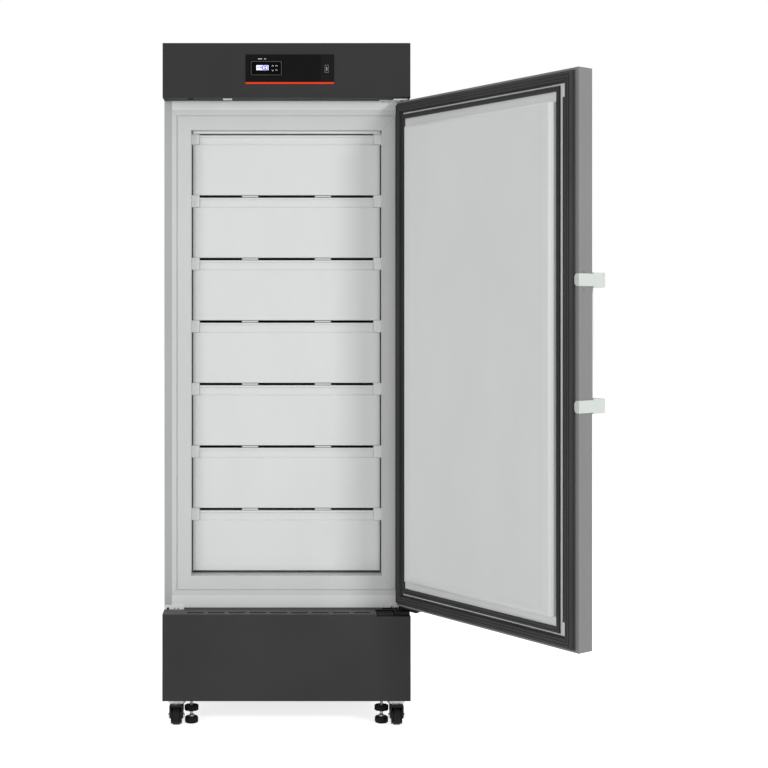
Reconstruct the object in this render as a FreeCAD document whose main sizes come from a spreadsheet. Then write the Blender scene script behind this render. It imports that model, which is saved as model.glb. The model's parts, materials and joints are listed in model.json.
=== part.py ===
import FreeCAD, Part
import Sketcher
import math
import os

# Upright laboratory freezer with seven drawers, its door swung open.
# Millimetres, +Z up, front towards -Y, origin on the floor under the middle of the cabinet.

doc = FreeCAD.newDocument("LaboratoryFreezer")
sheet = doc.addObject("Spreadsheet::Sheet", "Sizes")


class Size:
    # A length that keeps its spreadsheet formula beside its number
    def __init__(self, text, number):
        self.text = text
        self.number = float(number)

    def __add__(self, other):
        other = as_size(other)
        return Size(f"({self.text} + {other.text})", self.number + other.number)

    def __sub__(self, other):
        other = as_size(other)
        return Size(f"({self.text} - {other.text})", self.number - other.number)

    def __mul__(self, other):
        other = as_size(other)
        return Size(f"({self.text} * {other.text})", self.number * other.number)

    def __truediv__(self, other):
        other = as_size(other)
        return Size(f"({self.text} / {other.text})", self.number / other.number)

    def __radd__(self, other):
        return as_size(other) + self

    def __rsub__(self, other):
        return as_size(other) - self

    def __rmul__(self, other):
        return as_size(other) * self

    def __neg__(self):
        return Size(f"(0 - {self.text})", -self.number)

    def __float__(self):
        return self.number


def as_size(amount):
    return amount if isinstance(amount, Size) else Size(repr(float(amount)), amount)


def cosine(angle):
    return Size(f"cos({angle.text})", math.cos(math.radians(angle.number)))


def sine(angle):
    return Size(f"sin({angle.text})", math.sin(math.radians(angle.number)))


sheet_rows = []


def size(alias, number, note=""):
    # One driving size: a row of the sheet with its alias and what it measures
    sheet_rows.append(alias)
    row = len(sheet_rows)
    sheet.set(f"A{row}", alias)
    sheet.set(f"B{row}", str(number))
    sheet.set(f"C{row}", note)
    sheet.setAlias(f"B{row}", alias)
    return Size(f"Sizes.{alias}", number)


# Cabinet
case_width = size("case_width", 680, "outer width of the cabinet")
case_depth = size("case_depth", 600, "cabinet face to its back")
case_bottom = size("case_bottom", 318, "underside of the insulated cabinet")
case_top = size("case_top", 1728, "top of the insulated cabinet")
sheet_steel = size("sheet_steel", 1.2, "steel sheet of the case and the door")
case_edge_round = size("case_edge_round", 0.9, "outer bend of the folded case")
side_flange = size("side_flange", 21, "front flange at the cabinet sides")
top_flange = size("top_flange", 25, "front flange at the top")
bottom_flange = size("bottom_flange", 34, "front flange at the bottom")
strip_side = size("strip_side", 12, "breaker strip beside the side flanges")
strip_top = size("strip_top", 16, "breaker strip under the top flange")
strip_bottom = size("strip_bottom", 14, "breaker strip over the bottom flange")
groove_side = size("groove_side", 5, "groove between strip and frame at the sides")
groove_end = size("groove_end", 2, "groove between strip and frame at top and bottom")
front_trim = size("front_trim", 4, "thickness of the strip and the face frame")
groove_floor = size("groove_floor", 1.2, "plastic left under the groove")
side_wall = size("side_wall", 74, "cabinet side to the clear opening")
sill_height = size("sill_height", 88, "cabinet's underside to the liner floor")
head_height = size("head_height", 81, "liner ceiling to the cabinet's top")
liner_wall = size("liner_wall", 1.5, "inner liner thickness")
back_insulation = size("back_insulation", 85, "foam behind the liner")
back_swage = size("back_swage", 3, "height of the pressed field on the back")
back_margin = size("back_margin", 70, "flat border round the pressed field")

# Drawers, shelves and guides
drawer_count = 7
drawer_spare = size("drawer_spare", 9, "height left over above the highest drawer")
drawer_gap = size("drawer_gap", 7, "gap between two drawer fronts")
drawer_side = size("drawer_side", 3.5, "drawer front to the liner wall")
drawer_setback = size("drawer_setback", 40, "drawer front behind the cabinet face")
drawer_tail = size("drawer_tail", 35, "drawer's back to the liner's back")
front_thick = size("front_thick", 12, "depth of the drawer front")
drawer_wall = size("drawer_wall", 3, "moulded drawer wall")
bevel_width = size("bevel_width", 7, "bevel at the ends of the main face")
bevel_depth = size("bevel_depth", 2.5, "depth of that bevel")
grip_band = size("grip_band", 27, "set back band over the main face")
band_step = size("band_step", 4, "step from main face to band")
band_clear = size("band_clear", 2, "band end to guide block")
lip_height = size("lip_height", 6, "rolled lip along the drawer's top")
lip_round = size("lip_round", 1.8, "rounding of the lip")
face_round = size("face_round", 2, "rounding of the main face edge")
tub_round = size("tub_round", 14, "inside corner of the drawer tub")
tub_clear = size("tub_clear", 3, "tub rim under the band's top")
running_gap = size("running_gap", 0.3, "clearance between neighbours that move")
guide_width = size("guide_width", 20, "guide rail, out from the liner wall")
guide_round = size("guide_round", 3, "rounded nose of a guide rail")
guide_setback = size("guide_setback", 38, "guide nose behind the cabinet face")
shelf_thick = size("shelf_thick", 8, "cold shelf")
shelf_setback = size("shelf_setback", 100, "cold shelf edge behind the cabinet face")
shelf_clear = size("shelf_clear", 4, "cold shelf edge to the liner wall")
channel_width = size("channel_width", 12, "pressed channel under a cold shelf")
channel_depth = size("channel_depth", 3, "depth of the pressed channels")
channel_count = 6
channel_margin = size("channel_margin", 50, "first channel from the shelf edge")
tab_width = size("tab_width", 45, "stop tab at a shelf's front edge")
tab_thick = size("tab_thick", 4.6, "stop tab thickness")
tab_spread = size("tab_spread", 205, "distance between the two stop tabs")
tab_setback = size("tab_setback", 41, "stop tab nose behind the cabinet face")

# Control box over the cabinet
box_height = size("box_height", 150, "control box")
box_overhang = size("box_overhang", 58, "control box in front of the cabinet face")
fascia_depth = size("fascia_depth", 12, "depth of the fascia pan")
fascia_round = size("fascia_round", 3, "rounded edge of the fascia")
panel_left = size("panel_left", 112, "display panel's left end from the middle")
panel_right = size("panel_right", 130, "display panel's right end from the middle")
panel_bottom = size("panel_bottom", 42.6, "display panel over the box's underside")
panel_height = size("panel_height", 75, "display panel")
panel_thick = size("panel_thick", 2, "display panel and accent strip")
accent_height = size("accent_height", 7, "accent strip under the display panel")
panel_round = size("panel_round", 2, "corners of the display panel")
accent_round = size("accent_round", 4, "lower corners of the accent strip")
controller_x = size("controller_x", 55.5, "controller left of the middle")
controller_z = size("controller_z", 79.7, "controller over the box's underside")
bezel_width = size("bezel_width", 87, "controller bezel")
bezel_height = size("bezel_height", 41.4, "controller bezel")
bezel_proud = size("bezel_proud", 1.6, "bezel in front of the panel")
bezel_round = size("bezel_round", 3, "bezel corners")
window_width = size("window_width", 79.6, "window inside the bezel")
window_height = size("window_height", 35, "window inside the bezel")
window_thick = size("window_thick", 1, "window thickness")
controller_body_width = size("controller_body_width", 76, "controller body")
controller_body_height = size("controller_body_height", 32, "controller body")
controller_body_depth = size("controller_body_depth", 62, "controller behind the panel")
button_radius = size("button_radius", 3.2, "key")
button_clear = size("button_clear", 0.3, "key to its hole")
button_thick = size("button_thick", 2.6, "key")
button_proud = size("button_proud", 0.5, "key in front of the window")
button_pitch_x = size("button_pitch_x", 9.9, "between the key columns")
button_pitch_z = size("button_pitch_z", 12, "between the key rows")
button_x = size("button_x", 32.6, "middle of the keys left of the cabinet's middle")
key_well = size("key_well", 3.4, "depth of the well behind the keys")
usb_x = size("usb_x", 110, "data socket right of the middle")
usb_z = size("usb_z", 78.2, "data socket over the box's underside")
usb_plate_width = size("usb_plate_width", 11.5, "data socket plate")
usb_plate_height = size("usb_plate_height", 22.5, "data socket plate")
usb_plate_thick = size("usb_plate_thick", 1.2, "data socket plate")
usb_hole_width = size("usb_hole_width", 5.1, "data socket opening")
usb_hole_height = size("usb_hole_height", 12.5, "data socket opening")
usb_shell = size("usb_shell", 0.4, "data socket's metal shell")
usb_depth = size("usb_depth", 14, "data socket")
board_width = size("board_width", 220, "control board")
board_length = size("board_length", 130, "control board")
board_thick = size("board_thick", 1.6, "control board")
board_lift = size("board_lift", 8, "control board over the box floor")
board_front = size("board_front", 90, "control board behind the fascia")
relay_size = size("relay_size", 28, "relay and transformer blocks")
sensor_width = size("sensor_width", 25, "door sensor")
sensor_length = size("sensor_length", 40, "door sensor")
sensor_thick = size("sensor_thick", 4, "door sensor")
sensor_x = size("sensor_x", 162.5, "door sensor left of the middle")
sensor_back = size("sensor_back", 3, "door sensor in front of the cabinet face")

# Base
base_bottom = size("base_bottom", 75, "underside of the base")
ledge_gap = size("ledge_gap", 5, "ledge of the base panel under the cabinet")
base_overhang = size("base_overhang", 66, "base panel in front of the cabinet face")
base_sheet = size("base_sheet", 1.5, "steel sheet of the base")
spare_width = size("spare_width", 55, "spare bracket at the left corner")
spare_thick = size("spare_thick", 2, "spare bracket")
base_round = size("base_round", 3, "rounded edges of the base panel")
base_panel_depth = size("base_panel_depth", 76, "depth of the base panel pan")
base_lip = size("base_lip", 20, "lower lip of the base panel")
vent_count = 9
vent_length = size("vent_length", 45.4, "air slot in the ledge")
vent_width = size("vent_width", 11, "air slot in the ledge")
vent_pitch = size("vent_pitch", 57.3, "air slot to air slot")
vent_setback = size("vent_setback", 23, "air slots behind the base front")
vent_shift = size("vent_shift", 21.6, "middle of the slots left of the cabinet's middle")
pocket_reach = size("pocket_reach", 74.3, "hinge pocket in the base, left of the pivot")
pocket_drop = size("pocket_drop", 6.5, "hinge pocket under the ledge")
pocket_well = size("pocket_well", 37, "width of the open well in the pocket")
pocket_shelf = size("pocket_shelf", 34, "pocket floor in front of the well")
pocket_stop = size("pocket_stop", 5, "pocket's end before the cabinet face")
louvre_count = 8
louvre_pitch = size("louvre_pitch", 56, "louvre to louvre at the back")
louvre_width = size("louvre_width", 30, "louvre at the back")
louvre_height = size("louvre_height", 120, "louvre at the back")

# Cooling system inside the base
compressor_radius = size("compressor_radius", 78, "compressor shell")
compressor_height = size("compressor_height", 176, "compressor shell")
compressor_foot = size("compressor_foot", 12, "compressor over the base floor")
compressor_inset = size("compressor_inset", 220, "compressor in from the cabinet's side")
compressor_tail = size("compressor_tail", 150, "compressor before the cabinet's back")
foot_plate_thick = size("foot_plate_thick", 3, "compressor foot plate")
shell_seam = size("shell_seam", 4, "welded seam of the compressor shell")
condenser_margin = size("condenser_margin", 130, "condenser in from the cabinet's sides")
condenser_height = size("condenser_height", 180, "condenser")
condenser_depth = size("condenser_depth", 44, "condenser")
condenser_front = size("condenser_front", 70, "condenser behind the cabinet face")
fin_count = 21
fin_thick = size("fin_thick", 2, "condenser fin")
tube_radius = size("tube_radius", 5, "condenser tube")
tube_rows = 5
shroud_size = size("shroud_size", 184, "fan shroud")
shroud_thick = size("shroud_thick", 12, "fan shroud")
shroud_gap = size("shroud_gap", 16, "fan shroud behind the condenser")
fan_x = size("fan_x", 100, "fan left of the middle")
fan_hole = size("fan_hole", 82, "radius of the fan hole")
motor_radius = size("motor_radius", 24, "fan motor")
motor_length = size("motor_length", 34, "fan motor")
arm_width = size("arm_width", 9, "fan motor arm")
arm_thick = size("arm_thick", 4, "fan motor arm")
hub_radius = size("hub_radius", 20, "fan hub")
hub_length = size("hub_length", 18, "fan hub")
blade_tip = size("blade_tip", 77, "radius of the fan blades")
blade_chord = size("blade_chord", 34, "fan blade")
blade_thick = size("blade_thick", 2, "fan blade")
blade_count = 5
shaft_radius = size("shaft_radius", 3, "fan shaft")
shaft_length = size("shaft_length", 8, "fan shaft between motor and hub")
shaft_clear = size("shaft_clear", 0.05, "running clearance round a shaft")
gland_inset = size("gland_inset", 90, "cord gland in from the cabinet's side")
gland_z = size("gland_z", 120, "cord gland over the floor")
gland_radius = size("gland_radius", 13, "cord gland")
gland_length = size("gland_length", 22, "cord gland")
gland_bore = size("gland_bore", 4, "radius of the gland's bore")
gland_bore_length = size("gland_bore_length", 16, "depth of the gland's bore")

# Door, drawn closed and then swung open about its pivot
door_margin = size("door_margin", 10.3, "door's edge in from the cabinet's side")
door_rise = size("door_rise", 12.2, "door's lower edge over the cabinet's underside")
door_drop = size("door_drop", 8, "door's upper edge under the cabinet's top")
door_thick = size("door_thick", 48.7, "steel pan of the door")
door_stand = size("door_stand", 12, "closed door's inner side before the cabinet face")
door_swing = size("door_swing", 125.95, "opening angle")
pivot_inset = size("pivot_inset", 19.2, "door pivot in from the cabinet's side")
pivot_y = size("pivot_y", 25.9, "door pivot before the cabinet face")
door_round = size("door_round", 3, "rounded edges of the door pan")
skin_return = size("skin_return", 12, "steel edge that shows round the inner side")
liner_plate = size("liner_plate", 2, "door liner plate")
plateau_height = size("plateau_height", 14, "raised field of the door liner")
plateau_side = size("plateau_side", 70, "foot of the raised field from the door's side")
plateau_top = size("plateau_top", 57, "foot of the raised field from the door's top")
plateau_bottom = size("plateau_bottom", 59, "foot of the raised field from the door's bottom")
bevel_side = size("bevel_side", 9, "bevel of the raised field at its sides")
bevel_end = size("bevel_end", 25, "bevel of the raised field at top and bottom")
dish_side = size("dish_side", 31, "dished centre from the raised field's edge")
dish_depth = size("dish_depth", 3, "depth of the dished centre")
gasket_inset = size("gasket_inset", 12.5, "outer gasket from the door's edge")
gasket_base = size("gasket_base", 29, "width of the outer gasket's foot")
gasket_foot = size("gasket_foot", 3.5, "height of the gasket's foot")
bulb_inset = size("bulb_inset", 17, "bulb from the door's edge")
bulb_width = size("bulb_width", 20, "width of the magnet bulb")
seal_gap = size("seal_gap", 0.4, "closed gasket before the breaker strip")
bulb_round = size("bulb_round", 2.4, "rounded bulb")
lip_width = size("lip_width", 8, "inner lip of the gasket")
lip_thick = size("lip_thick", 1.4, "inner lip of the gasket")
lip_cut = size("lip_cut", 46, "inner lip left off at each corner")
second_inset = size("second_inset", 58, "inner gasket from the door's edge at the sides")
second_end = size("second_end", 45, "inner gasket from the door's edge at top and bottom")
second_width = size("second_width", 11.5, "inner gasket")
second_height = size("second_height", 7, "inner gasket")
second_round = size("second_round", 2, "rounded inner gasket")
pin_radius = size("pin_radius", 4.5, "hinge pin")
pin_clear = size("pin_clear", 0.06, "running clearance round the hinge pins")
bush_radius = size("bush_radius", 6.2, "nylon bush")
bush_length = size("bush_length", 20, "nylon bush")
pivot_arm = size("pivot_arm", 76, "pivot arm under the door")
pivot_arm_width = size("pivot_arm_width", 13, "pivot arm under the door")
pivot_arm_thick = size("pivot_arm_thick", 5.4, "pivot arm under the door")

# Door handle and lock
handle_low = size("handle_low", 914, "lower bracket over the floor")
handle_span = size("handle_span", 301.6, "between the two brackets")
strap_height = size("strap_height", 30, "bracket strap")
strap_thick = size("strap_thick", 3, "bracket strap")
strap_tab = size("strap_tab", 11, "strap's tab on the inner side")
block_height = size("block_height", 36, "bracket block")
block_width = size("block_width", 66, "bracket block")
block_proud = size("block_proud", 43.5, "bracket block in front of the door")
block_round = size("block_round", 5, "rounded bracket block")
bar_width = size("bar_width", 30, "grip bar")
bar_thick = size("bar_thick", 18, "grip bar")
bar_round = size("bar_round", 6, "rounded grip bar")
lock_inset = size("lock_inset", 65.7, "lock in from the door's edge")
lock_drop = size("lock_drop", 39, "lock barrel under the door's top")
lock_radius = size("lock_radius", 9, "lock barrel")
lock_length = size("lock_length", 20, "lock barrel")
lock_proud = size("lock_proud", 3, "lock barrel in front of the door")
key_slot = size("key_slot", 2, "key slot")
bolt_width = size("bolt_width", 10, "lock bolt")
bolt_depth = size("bolt_depth", 14, "lock bolt")
bolt_length = size("bolt_length", 30, "lock bolt")
bolt_y = size("bolt_y", 33, "lock bolt before the cabinet face")
bolt_below = size("bolt_below", 0.6, "drawn bolt under the door's top")
strike_clear = size("strike_clear", 2.5, "strike slot round the bolt")

# Hinges on the cabinet
upper_plate = size("upper_plate", 2.6, "upper hinge plate")
upper_length = size("upper_length", 62.8, "upper hinge plate left of the pivot")
arm_reach = size("arm_reach", 24.8, "hinge arm left of the pivot")
arm_edge = size("arm_edge", 14, "hinge arm beyond the pivot")
upper_pin = size("upper_pin", 22, "upper hinge pin")
hinge_seat = size("hinge_seat", 16, "depth of the fixed leg")
lower_plate = size("lower_plate", 5, "lower hinge plate")
boss_radius = size("boss_radius", 11, "boss under the door's pivot arm")
lower_pin = size("lower_pin", 26, "lower hinge pin over the boss")
lower_front = size("lower_front", 56, "lower hinge before the cabinet face")
lower_nose_depth = size("lower_nose_depth", 15, "depth of the lower hinge's nose")
lower_tail = size("lower_tail", 30, "lower hinge under the cabinet")
spare_drop = size("spare_drop", 9, "spare bracket's lower edge under the cabinet")
spare_height = size("spare_height", 16, "spare bracket")
spare_hole = size("spare_hole", 3.4, "large hole of the spare bracket")
spare_small_hole = size("spare_small_hole", 1.8, "small holes of the spare bracket")
spare_hole_rise = size("spare_hole_rise", 6.4, "holes over the spare bracket's lower edge")
spare_hole_inset = size("spare_hole_inset", 10, "large hole in from the cabinet's side")

# Casters and levelling feet
caster_inset = size("caster_inset", 36, "casters in from the cabinet's sides")
caster_lead = size("caster_lead", 5, "front casters before the cabinet face")
caster_tail = size("caster_tail", 55, "rear casters before the cabinet's back")
caster_plate_width = size("caster_plate_width", 56, "caster mounting plate")
caster_plate_length = size("caster_plate_length", 66, "caster mounting plate")
caster_plate_thick = size("caster_plate_thick", 2.5, "caster mounting plate")
race_radius = size("race_radius", 24, "ball race housing")
race_height = size("race_height", 16, "ball race housing")
kingpin_radius = size("kingpin_radius", 5, "kingpin")
caster_trail = size("caster_trail", 19, "wheel axle before the kingpin")
fork_width = size("fork_width", 38, "caster fork")
fork_leg = size("fork_leg", 4, "caster fork's leg")
fork_cap = size("fork_cap", 5, "caster fork's crown")
fork_back = size("fork_back", 14, "crown behind the kingpin")
fork_nape = size("fork_nape", 10, "rounded back corners of the crown")
leg_back = size("leg_back", 3, "legs behind the kingpin")
fork_toe = size("fork_toe", 10, "leg's end round the axle")
kingpin_head = size("kingpin_head", 7, "riveted head of the kingpin")
wheel_radius = size("wheel_radius", 25, "caster wheel")
wheel_width = size("wheel_width", 24, "caster wheel")
tread_round = size("tread_round", 4, "rounded tread")
hub_width = size("hub_width", 28, "wheel hub")
wheel_hub_radius = size("wheel_hub_radius", 9, "wheel hub")
web_recess = size("web_recess", 4, "recess beside the wheel's rim")
rim_width = size("rim_width", 7, "wheel's tyre and rim")
axle_radius = size("axle_radius", 4, "wheel axle")
axle_head = size("axle_head", 6.5, "axle bolt head and nut")
axle_head_thick = size("axle_head_thick", 3.4, "axle bolt head and nut")
foot_inset = size("foot_inset", 76, "levelling feet in from the cabinet's sides")
foot_lead = size("foot_lead", 3, "levelling feet before the cabinet face")
foot_radius = size("foot_radius", 18.7, "rubber pad")
foot_neck = size("foot_neck", 11, "top of the rubber pad")
foot_height = size("foot_height", 17, "rubber pad")
foot_edge = size("foot_edge", 8, "straight edge of the rubber pad")
foot_round = size("foot_round", 1.5, "rounded edge of the rubber pad")
foot_socket = size("foot_socket", 8, "depth of the stem's socket in the pad")
stem_radius = size("stem_radius", 4, "threaded stem")
stem_top = size("stem_top", 118, "stem's upper end")
stem_collar = size("stem_collar", 7.5, "cone over the pad")
collar_height = size("collar_height", 8, "cone over the pad")
handwheel_radius = size("handwheel_radius", 19.5, "adjusting handwheel")
handwheel_low = size("handwheel_low", 35, "handwheel's lower side")
handwheel_thick = size("handwheel_thick", 12.5, "handwheel")
handwheel_notches = 12
notch_radius = size("notch_radius", 2.6, "finger notch of the handwheel")
nut_radius = size("nut_radius", 9, "welded nut in the base floor")
nut_height = size("nut_height", 10, "welded nut in the base floor")

# Places worked out from the sizes above
case_half = case_width / 2
face_y = -case_depth / 2
rear_y = case_depth / 2
open_half = case_half - side_wall
opening_bottom = case_bottom + sill_height
opening_top = case_top - head_height
drawer_pitch = (opening_top - opening_bottom - drawer_spare) / drawer_count
drawer_half = open_half - drawer_side
flange_half = case_half - side_flange
flange_low = case_bottom + bottom_flange
flange_high = case_top - top_flange
strip_half = flange_half - strip_side
strip_low = flange_low + strip_bottom
strip_high = flange_high - strip_top
frame_half = strip_half - groove_side
frame_low = strip_low + groove_end
frame_high = strip_high - groove_end
liner_back = rear_y - back_insulation
shelf_base = opening_bottom
drawer_base = shelf_base + drawer_gap
drawer_height = drawer_pitch - drawer_gap
drawer_face = face_y + drawer_setback
drawer_back = liner_back - drawer_tail
band_half = open_half - guide_width - band_clear
box_front = face_y - box_overhang
box_top = case_top + box_height
panel_low = case_top + panel_bottom
base_front = face_y - base_overhang
panel_rear = base_front + base_panel_depth
base_top = case_bottom - ledge_gap
pocket_floor = base_top - pocket_drop
pivot_level = face_y - pivot_y
pivot_x = case_half - pivot_inset
upper_left = pivot_x - upper_length
arm_left = pivot_x - arm_reach
pocket_left = pivot_x - pocket_reach
bulb_height = door_stand - seal_gap
door_front = door_thick + door_stand
door_bottom = case_bottom + door_rise
door_top = case_top - door_drop
door_face = face_y - door_front
door_inner = door_face + door_thick
door_half = case_half - door_margin
lock_x = door_half - lock_inset
handle_high = handle_low + handle_span
lock_z = door_top - lock_drop
bolt_centre = face_y - bolt_y
bar_left = -door_half + block_width - bar_width - strap_thick
bar_front = door_face - block_proud
floor_top = base_bottom + base_sheet
spare_low = case_bottom - spare_drop
spare_high = spare_low + spare_height
spare_hole_z = spare_low + spare_hole_rise
spare_hole_x = case_half - spare_hole_inset
caster_x = case_half - caster_inset
caster_front = caster_lead - face_y
caster_rear = rear_y - caster_tail
foot_x = case_half - foot_inset
foot_y = foot_lead - face_y
gland_x = case_half - gland_inset
compressor_x = case_half - compressor_inset
compressor_y = rear_y - compressor_tail
condenser_width = case_width - 2 * condenser_margin


class Round:
    # A circle of a sketch
    def __init__(self, x, y, radius):
        self.centre = (as_size(x), as_size(y))
        self.radius = as_size(radius)


def rectangle(left, right, low, high):
    return [(left, low), (right, low), (right, high), (left, high)]


def tie(thing, path, amount):
    # Binds one property to a formula of the sheet
    thing.setExpression(path, as_size(amount).text)


def new_body(label):
    made = doc.addObject("PartDesign::Body", label)
    made.Label = label
    return made


def draw_corners(sketch, corners):
    # A closed outline whose every corner is held by two bound distances
    first = sketch.GeometryCount
    points = [(as_size(x), as_size(y)) for x, y in corners]
    count = len(points)
    for index in range(count):
        start = points[index]
        end = points[(index + 1) % count]
        a = FreeCAD.Vector(float(start[0]), float(start[1]), 0)
        b = FreeCAD.Vector(float(end[0]), float(end[1]), 0)
        sketch.addGeometry(Part.LineSegment(a, b))
    for index in range(count):
        follower = first + (index + 1) % count
        sketch.addConstraint(Sketcher.Constraint("Coincident", first + index, 2, follower, 1))
    for index, point in enumerate(points):
        for kind, amount in (("DistanceX", point[0]), ("DistanceY", point[1])):
            held = Sketcher.Constraint(kind, -1, 1, first + index, 1, float(amount))
            name = f"{kind}{first + index}"
            sketch.renameConstraint(sketch.addConstraint(held), name)
            tie(sketch, f"Constraints.{name}", amount)


def draw_circle(sketch, round_hole):
    centre = FreeCAD.Vector(float(round_hole.centre[0]), float(round_hole.centre[1]), 0)
    circle = Part.Circle(centre, FreeCAD.Vector(0, 0, 1), float(round_hole.radius))
    made = sketch.addGeometry(circle)
    for kind, amount in (("DistanceX", round_hole.centre[0]), ("DistanceY", round_hole.centre[1])):
        held = Sketcher.Constraint(kind, -1, 1, made, 3, float(amount))
        name = f"{kind}{made}"
        sketch.renameConstraint(sketch.addConstraint(held), name)
        tie(sketch, f"Constraints.{name}", amount)
    held = Sketcher.Constraint("Radius", made, float(round_hole.radius))
    sketch.renameConstraint(sketch.addConstraint(held), f"Radius{made}")
    tie(sketch, f"Constraints.Radius{made}", round_hole.radius)


def sketch_on(owner, plane, level, outlines):
    # level is the place along the plane's world axis: z for XY, y for XZ, x for YZ
    sketch = owner.newObject("Sketcher::SketchObject", f"{owner.Name}_sketch")
    support = [f for f in owner.Origin.OriginFeatures if f.Role == f"{plane}_Plane"][0]
    sketch.AttachmentSupport = [(support, "")]
    sketch.MapMode = "FlatFace"
    tie(sketch, "AttachmentOffset.Base.z", -as_size(level) if plane == "XZ" else level)
    for outline in outlines:
        if isinstance(outline, Round):
            draw_circle(sketch, outline)
        else:
            draw_corners(sketch, outline)
    return sketch


def prism(owner, plane, low, high, *outlines):
    # Adds material between two levels; inner outlines are holes
    start = high if plane == "XZ" else low
    pad = owner.newObject("PartDesign::Pad", f"{owner.Name}_pad")
    pad.Profile = sketch_on(owner, plane, start, outlines)
    tie(pad, "Length", as_size(high) - low)
    return pad


def cut(owner, plane, low, high, *outlines):
    # Removes material between two levels
    start = low if plane == "XZ" else high
    pocket = owner.newObject("PartDesign::Pocket", f"{owner.Name}_pocket")
    pocket.Profile = sketch_on(owner, plane, start, outlines)
    tie(pocket, "Length", as_size(high) - low)
    return pocket


def turned(owner, plane, axis, corners):
    # A full turn of an outline about the sketch's own axis
    spin = owner.newObject("PartDesign::Revolution", f"{owner.Name}_turn")
    profile = sketch_on(owner, plane, 0, [corners])
    spin.Profile = profile
    spin.ReferenceAxis = (profile, [axis])
    spin.Angle = 360
    return spin


def edge_names(shape, test):
    names = []
    for index, edge in enumerate(shape.Edges):
        ends = [vertex.Point for vertex in edge.Vertexes]
        if len(ends) == 2 and test(ends[0], ends[1]):
            names.append(f"Edge{index + 1}")
    return names


def soften(owner, radius, test, kind="PartDesign::Fillet"):
    # Rounds, or chamfers, the edges whose two ends pass the test
    doc.recompute()
    base = owner.Tip
    names = edge_names(base.Shape, test)
    dressed = owner.newObject(kind, f"{owner.Name}_edge")
    dressed.Base = (base, names)
    tie(dressed, "Radius" if kind == "PartDesign::Fillet" else "Size", radius)
    return dressed


def near(a, b):
    return abs(a - float(b)) < 0.01


def runs_along(a, b, axis):
    # True where an edge runs along one world axis
    gap = (abs(a.x - b.x), abs(a.y - b.y), abs(a.z - b.z))
    return gap["xyz".index(axis)] > 0.01 and sum(gap) - gap["xyz".index(axis)] < 0.01


def place(thing, x, y, z):
    tie(thing, "Placement.Base.x", x)
    tie(thing, "Placement.Base.y", y)
    tie(thing, "Placement.Base.z", z)


def swing_open(thing):
    # Turns a piece that was drawn on the closed door about the hinge pivot
    thing.Placement = FreeCAD.Placement(FreeCAD.Vector(), FreeCAD.Rotation(FreeCAD.Vector(0, 0, 1), 1))
    tie(thing, "Placement.Rotation.Angle", door_swing)
    turn_x = pivot_x * cosine(door_swing) - pivot_level * sine(door_swing)
    turn_y = pivot_x * sine(door_swing) + pivot_level * cosine(door_swing)
    tie(thing, "Placement.Base.x", pivot_x - turn_x)
    tie(thing, "Placement.Base.y", pivot_level - turn_y)


nodes = {}


def keep(thing, label):
    nodes[label] = thing
    thing.Label = label
    return thing


def group(label, members):
    # Separate solids that share one node
    for index, member in enumerate(members):
        member.Label = f"{label} {index + 1}"
    joined = doc.addObject("Part::Compound", label)
    joined.Links = members
    return keep(joined, label)


def make_outer_case():
    # Folded steel wrapper with its front flange
    case = new_body("outer_case")
    outer = rectangle(-case_half, case_half, case_bottom, case_top)
    inner = rectangle(-case_half + sheet_steel, case_half - sheet_steel,
                      case_bottom + sheet_steel, case_top - sheet_steel)
    opening = rectangle(-flange_half, flange_half, flange_low, flange_high)
    prism(case, "XZ", face_y, rear_y, outer, inner)
    prism(case, "XZ", face_y, face_y + sheet_steel, outer, opening)
    soften(case, case_edge_round, lambda a, b: runs_along(a, b, "z") and near(a.y, face_y)
           and near(abs(a.x), case_half))
    keep(case, "outer_case")


def make_back_panel():
    # Steel back with a raised pressed field
    back = new_body("back_panel")
    left = -case_half + sheet_steel
    right = case_half - sheet_steel
    low = case_bottom + sheet_steel
    high = case_top - sheet_steel
    prism(back, "XZ", rear_y - sheet_steel, rear_y, rectangle(left, right, low, high))
    prism(back, "XZ", rear_y, rear_y + back_swage,
          rectangle(left + back_margin, right - back_margin, low + back_margin, high - back_margin))
    soften(back, back_swage * 0.9, lambda a, b: near(a.y, rear_y + back_swage)
           and near(b.y, rear_y + back_swage))
    keep(back, "back_panel")


def make_insulation():
    # Foam between the case and the liner, rebated for the front trim
    foam = new_body("insulation")
    front = face_y + sheet_steel
    back = rear_y - sheet_steel
    prism(foam, "XZ", front, back,
          rectangle(-case_half + sheet_steel, case_half - sheet_steel,
                    case_bottom + sheet_steel, case_top - sheet_steel))
    cut(foam, "XZ", front, liner_back,
        rectangle(-open_half - liner_wall, open_half + liner_wall,
                  opening_bottom - liner_wall, opening_top + liner_wall))
    cut(foam, "XZ", front, face_y + front_trim,
        rectangle(-flange_half, flange_half, flange_low, flange_high))
    keep(foam, "insulation")


def make_inner_liner():
    liner = new_body("inner_liner")
    outer = rectangle(-open_half - liner_wall, open_half + liner_wall,
                      opening_bottom - liner_wall, opening_top + liner_wall)
    inner = rectangle(-open_half, open_half, opening_bottom, opening_top)
    prism(liner, "XZ", face_y, liner_back, outer, inner)
    prism(liner, "XZ", liner_back - liner_wall, liner_back, outer)
    keep(liner, "inner_liner")


def make_breaker_strip():
    # Plastic strip round the flange, with the floor of the groove beside the frame
    strip = new_body("breaker_strip")
    outer = rectangle(-flange_half, flange_half, flange_low, flange_high)
    inner = rectangle(-strip_half, strip_half, strip_low, strip_high)
    frame = rectangle(-frame_half, frame_half, frame_low, frame_high)
    rear = face_y + front_trim
    prism(strip, "XZ", face_y, rear, outer, inner)
    prism(strip, "XZ", rear - groove_floor, rear, outer, frame)
    keep(strip, "breaker_strip")


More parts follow.
